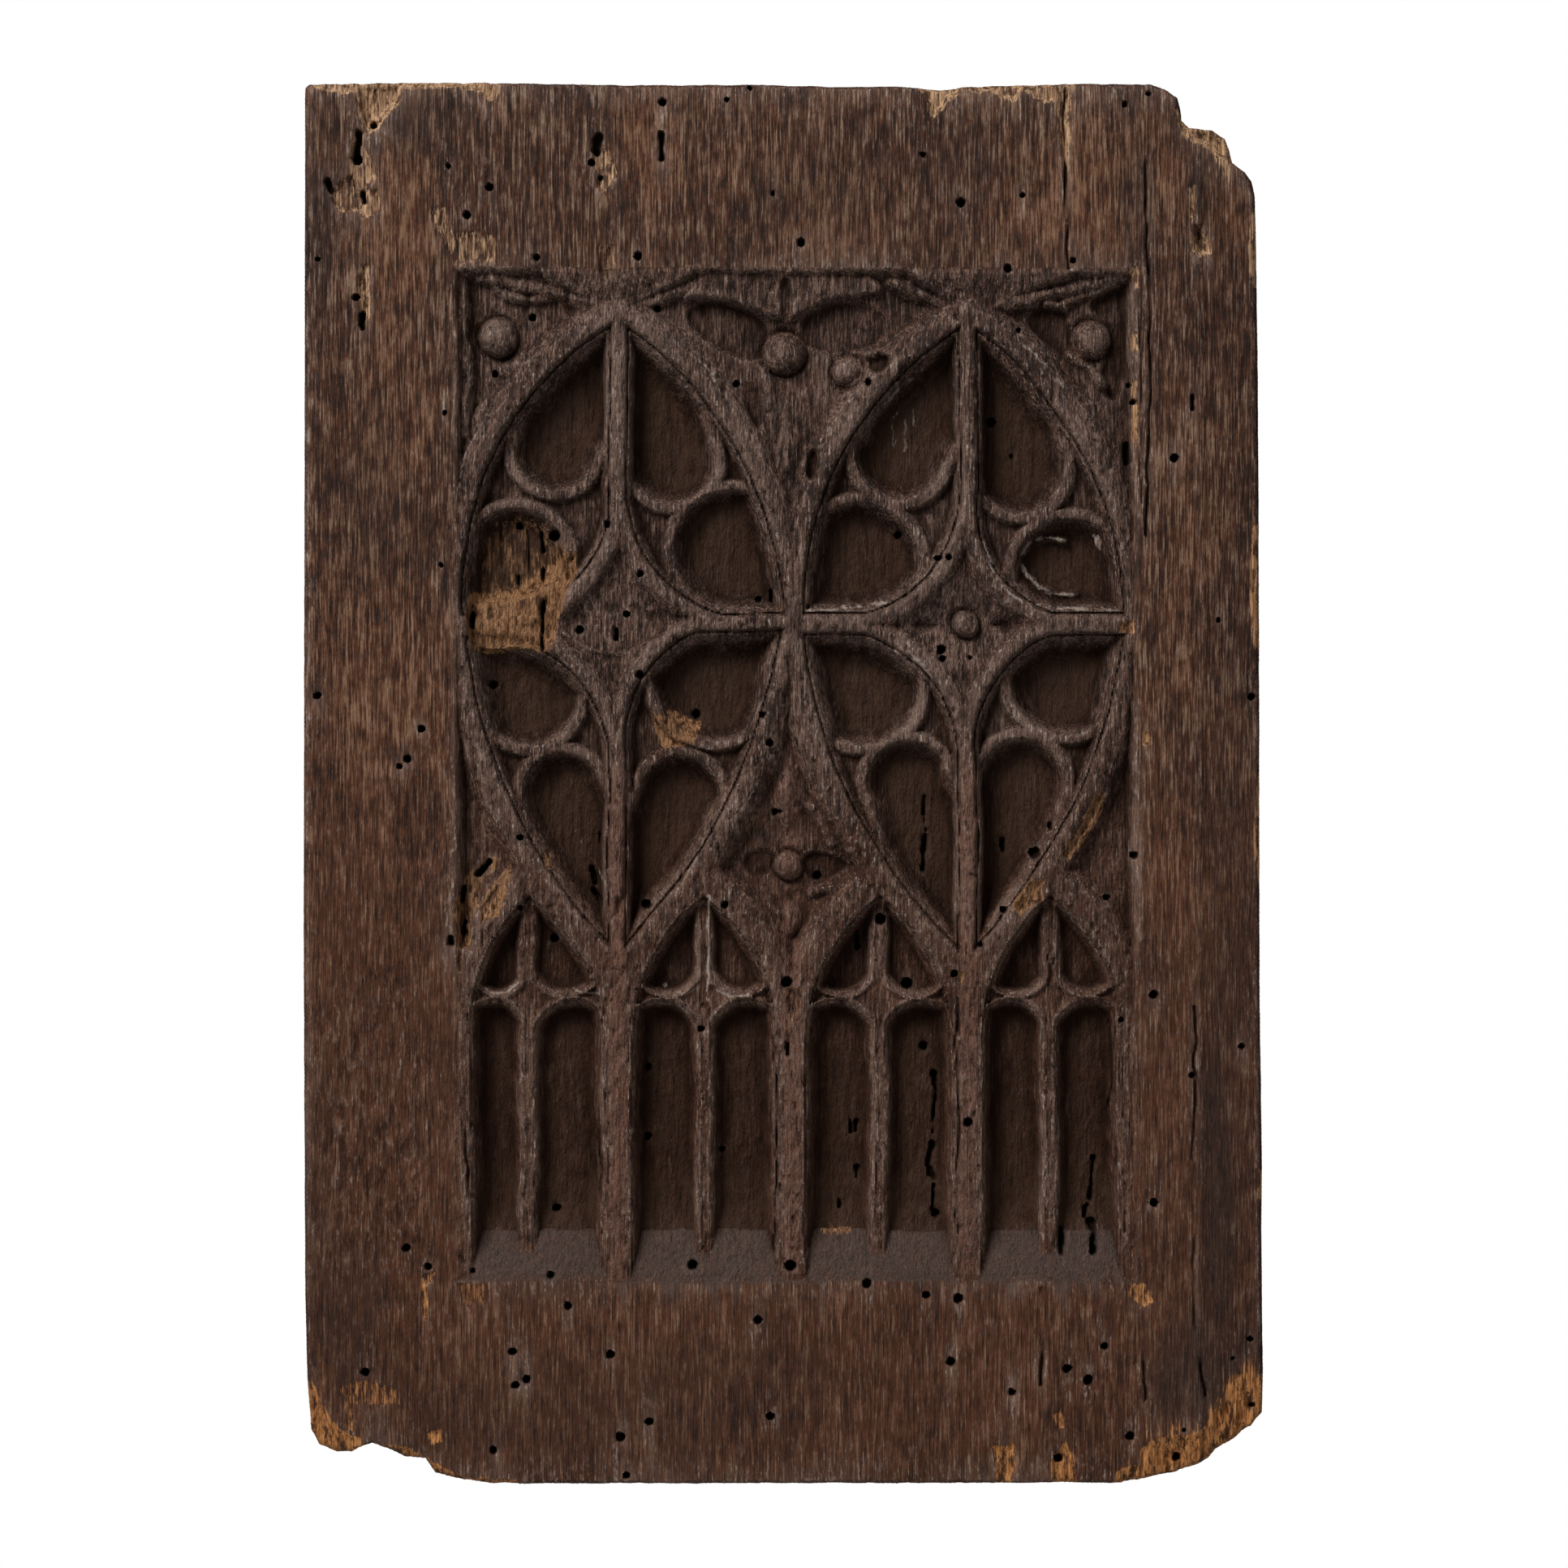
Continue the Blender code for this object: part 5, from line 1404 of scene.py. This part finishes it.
def makeOak():
    material = bpy.data.materials.new("oldOak")
    material.use_nodes = True
    nodes = Nodes(material.node_tree)
    level, times, plus, mix = nodes.level, nodes.times, nodes.plus, nodes.mix
    place = nodes.add("ShaderNodeTexCoord").outputs["Object"]
    grain = nodes.texture(place, oak["fibre"], detail=3)
    streaks = nodes.texture(place, oak["streak"])
    clouds = nodes.texture(place, oak["cloud"], detail=5)
    speck = nodes.texture(place, oak["speck"], detail=2)
    pore = nodes.texture(place, oak["pore"], detail=2)
    torn = nodes.texture(place, oak["torn"], roughness=0.68)
    mottle = nodes.texture(place, oak["mottle"], roughness=0.65)
    mask = {name: nodes.attribute(name) for name in fields}

    def blend(first, second, shares):
        return plus(times(first, shares[0]), times(second, shares[1]))

    def onCrest(shares):
        return plus(times(mask["crest"], shares[0]), shares[1])

    tone = 0
    for texture, share in zip((grain, streaks, clouds, mottle), ageAndPaintedLight["toneShares"]):
        tone = plus(tone, times(texture, share))
    contrast = level(mask["upField"], *ageAndPaintedLight["contrastUp"])
    tone = plus(times(nodes.combine("SUBTRACT", tone, 0.5), contrast), 0.5)

    # Red-brown margins, and the greyer carved field
    redder = times(mask["redder"], ageAndPaintedLight["redMargin"])
    redder = nodes.combine("MAXIMUM", redder, level(clouds, *ageAndPaintedLight["rustyClouds"]))
    middle = mix(redder, oak["margin"], oak["marginRed"])
    light = mix(redder, oak["marginLight"], oak["marginGlow"])
    margin = nodes.shade(tone, oak["marginDark"], middle, light)
    rust = mix(level(mottle, *ageAndPaintedLight["rustySpots"]), oak["carved"], oak["rust"])
    carved = nodes.shade(tone, oak["carvedDark"], rust, oak["carvedLight"])
    patchy = level(clouds, *ageAndPaintedLight["greyClouds"])
    greyed = plus(times(patchy, ageAndPaintedLight["greyShare"]), level(mask["upField"], *ageAndPaintedLight["greyUp"]))
    colour = mix(times(mask["inField"], greyed), margin, carved)

    # Bloom, flecks, rubbed shafts and chips on what stands up, partly painted highlights and glints on the
    # crests and raised grain
    # Bloom with a painted highlight on the crests
    colour = mix(times(patchy, times(mask["crest"], ageAndPaintedLight["bloomAndHighlight"])), colour, oak["carvedLight"])
    # Pale flecks, most on the crests: flecked wood and painted glints
    flecks = level(blend(speck, grain, ageAndPaintedLight["fleckShares"]), *ageAndPaintedLight["flecks"])
    colour = mix(times(flecks, onCrest(ageAndPaintedLight["fleckOnCrest"])), colour, oak["fleck"])
    # Rubbed warmer and paler shafts, partly a painted highlight along their tops
    glow = times(mask["shaftGlow"], level(grain, *ageAndPaintedLight["rubbedShafts"]))
    colour = mix(glow, colour, oak["shaft"])
    # Chipped pale wood and painted highlights on the raised bits of the torn grain, which the bump raises
    # there, most on the crests
    chipsAndHighlights = times(level(torn, *ageAndPaintedLight["chipsAndHighlights"]), onCrest(ageAndPaintedLight["chipAndHighlightOnCrest"]))
    colour = mix(chipsAndHighlights, colour, oak["carvedLight"])

    # Checks with painted shade in the torn grain's pits, stains, pores, dirt with painted shade in what
    # lies low, and dust with painted light on the sill
    # Dark checks and painted shade in the pits of the torn grain, which the bump sinks there
    checksAndPitShade = times(level(torn, *ageAndPaintedLight["checksAndPitShade"]), level(mask["inField"], *ageAndPaintedLight["checksAndPitShadeInField"]))
    colour = mix(checksAndPitShade, colour, oak["darkest"])
    colour = mix(times(mask["stain"], ageAndPaintedLight["stain"]), colour, oak["stained"])
    colour = mix(level(pore, *ageAndPaintedLight["pores"]), colour, oak["darkest"])
    # Dirt and painted shade in what lies low
    colour = mix(times(mask["hollow"], ageAndPaintedLight["dirtAndShade"]), colour, oak["dirtAndShade"])
    # The deepest floors are painted a warmer mid brown over that, lighter than the painted shade at their
    # walls and darker than the ribs
    floors = times(mask["floors"], level(streaks, *ageAndPaintedLight["floorStreaks"]))
    colour = mix(floors, colour, oak["floor"])
    # Dust and painted light on the sill's upward-facing slope
    colour = mix(times(mask["dustAndLitTop"], level(speck, *ageAndPaintedLight["dustAndLitTop"])), colour, oak["dustAndLitTop"])

    # Raw wood at the breaks with painted shade in its pits, pale worn edges and scratches with painted
    # highlights along rims and ridges, and painted shade in the holes and splits
    deepRaw = mix(mask["orange"], oak["raw"], oak["rawOrange"])
    paleRaw = mix(mask["orange"], oak["rawPale"], oak["rawGold"])
    raw = mix(level(grain, *ageAndPaintedLight["rawFibres"]), deepRaw, paleRaw)
    # Painted shade in the pits of the raw wood's torn grain
    raw = mix(level(torn, *ageAndPaintedLight["rawPitsAndShade"]), raw, oak["rawDark"])
    raw = mix(times(mask["inField"], ageAndPaintedLight["rawInField"]), raw, oak["rawDark"])
    ragged = blend(torn, grain, ageAndPaintedLight["raggedShares"])
    bared = level(plus(mask["bare"], ragged), *ageAndPaintedLight["bareRagged"])
    bared = times(bared, level(mask["bare"], *ageAndPaintedLight["bareAtAll"]))
    colour = mix(bared, colour, raw)
    # Pale worn edges and scratches, and painted highlights along rims and ridges
    paleWearAndHighlight = plus(mask["pale"], times(speck, ageAndPaintedLight["paleWearAndHighlightSpeck"]))
    colour = mix(level(paleWearAndHighlight, *ageAndPaintedLight["paleWearAndHighlight"]), colour, oak["fleck"])
    # Painted shade in the wormholes and splits
    colour = mix(times(mask["holes"], ageAndPaintedLight["holes"]), colour, oak["darkest"])

    shader = nodes.add("ShaderNodeBsdfPrincipled")
    shine = level(mask["hollow"], 0, 1, oak["specular"], oak["hollowSpecular"])
    nodes.join(colour, shader.inputs["Base Color"])
    nodes.join(level(tone, *ageAndPaintedLight["roughness"]), shader.inputs["Roughness"])
    nodes.join(shine, shader.inputs["Specular IOR Level"])
    rough = times(torn, level(mask["inField"], *ageAndPaintedLight["bumpInField"]))
    bump = nodes.add("ShaderNodeBump", Strength=oak["bump"], Distance=oak["bumpHeight"])
    nodes.join(plus(times(grain, oak["bumpGrain"]), rough), bump.inputs["Height"])
    nodes.join(bump.outputs["Normal"], shader.inputs["Normal"])
    output = nodes.add("ShaderNodeOutputMaterial")
    nodes.join(shader.outputs["BSDF"], output.inputs["Surface"])
    return material


mesh.materials.clear()
mesh.materials.append(makeOak())
print("old oak made")

studio = {
    "lens": 120,
    "sensor": 36,
    "frameWidth": 0.4237,   # width of the photograph at the board's face
    "eyeAcross": 0.0001,
    "eyeUp": -0.0003,
    "floorDown": 1.9,
    "floorRadius": 6,
    "paleFloor": 0.8,
    "skyLight": 0.09,
    "keyPlace": (-1.55, -1.8, 2.05),
    "keySize": 1.3,
    "keyPower": 110,
    "fillPlace": (1.8, -1.6, 0.2),
    "fillSize": 1.6,
    "fillPower": 5,
}


def makeStudio():
    bm = bmesh.new()
    bmesh.ops.create_circle(bm, cap_ends=True, segments=64, radius=studio["floorRadius"])
    floorMesh = bpy.data.meshes.new("paleFloor")
    bm.to_mesh(floorMesh)
    bm.free()
    floor = bpy.data.objects.new("paleFloor", floorMesh)
    floor.location.z = -studio["floorDown"]
    bpy.context.collection.objects.link(floor)
    paint = bpy.data.materials.new("palePaint")
    paint.use_nodes = True
    shader = paint.node_tree.nodes["Principled BSDF"]
    shader.inputs["Base Color"].default_value = (studio["paleFloor"],) * 3 + (1,)
    shader.inputs["Roughness"].default_value = 0.9
    floorMesh.materials.append(paint)

    for name in ("key", "fill"):
        lamp = bpy.data.lights.new(name, "AREA")
        lamp.size = studio[name + "Size"]
        lamp.energy = studio[name + "Power"]
        light = bpy.data.objects.new(name, lamp)
        light.location = studio[name + "Place"]
        light.rotation_euler = (-Vector(studio[name + "Place"])).to_track_quat("-Z", "Y").to_euler()
        bpy.context.collection.objects.link(light)

    world = bpy.data.worlds.new("softWhite")
    world.use_nodes = True
    nodes = Nodes(world.node_tree)
    background = nodes.add("ShaderNodeBackground")
    seen = nodes.add("ShaderNodeLightPath").outputs["Is Camera Ray"]
    background.inputs["Color"].default_value = (1, 1, 1, 1)
    nodes.join(nodes.level(seen, 0, 1, studio["skyLight"], 1), background.inputs["Strength"])
    output = nodes.add("ShaderNodeOutputWorld")
    nodes.join(background.outputs["Background"], output.inputs["Surface"])
    bpy.context.scene.world = world

    camera = bpy.data.cameras.new("camera")
    camera.lens = studio["lens"]
    camera.sensor_width = studio["sensor"]
    eye = bpy.data.objects.new("camera", camera)
    away = studio["frameWidth"] * studio["lens"] / studio["sensor"]
    eye.location = (studio["eyeAcross"], faceY / 1000 - away, studio["eyeUp"])
    eye.rotation_euler = (math.pi / 2, 0, 0)
    bpy.context.collection.objects.link(eye)
    bpy.context.scene.camera = eye
    bpy.context.scene.view_settings.view_transform = "Standard"


makeStudio()
print("studio made")
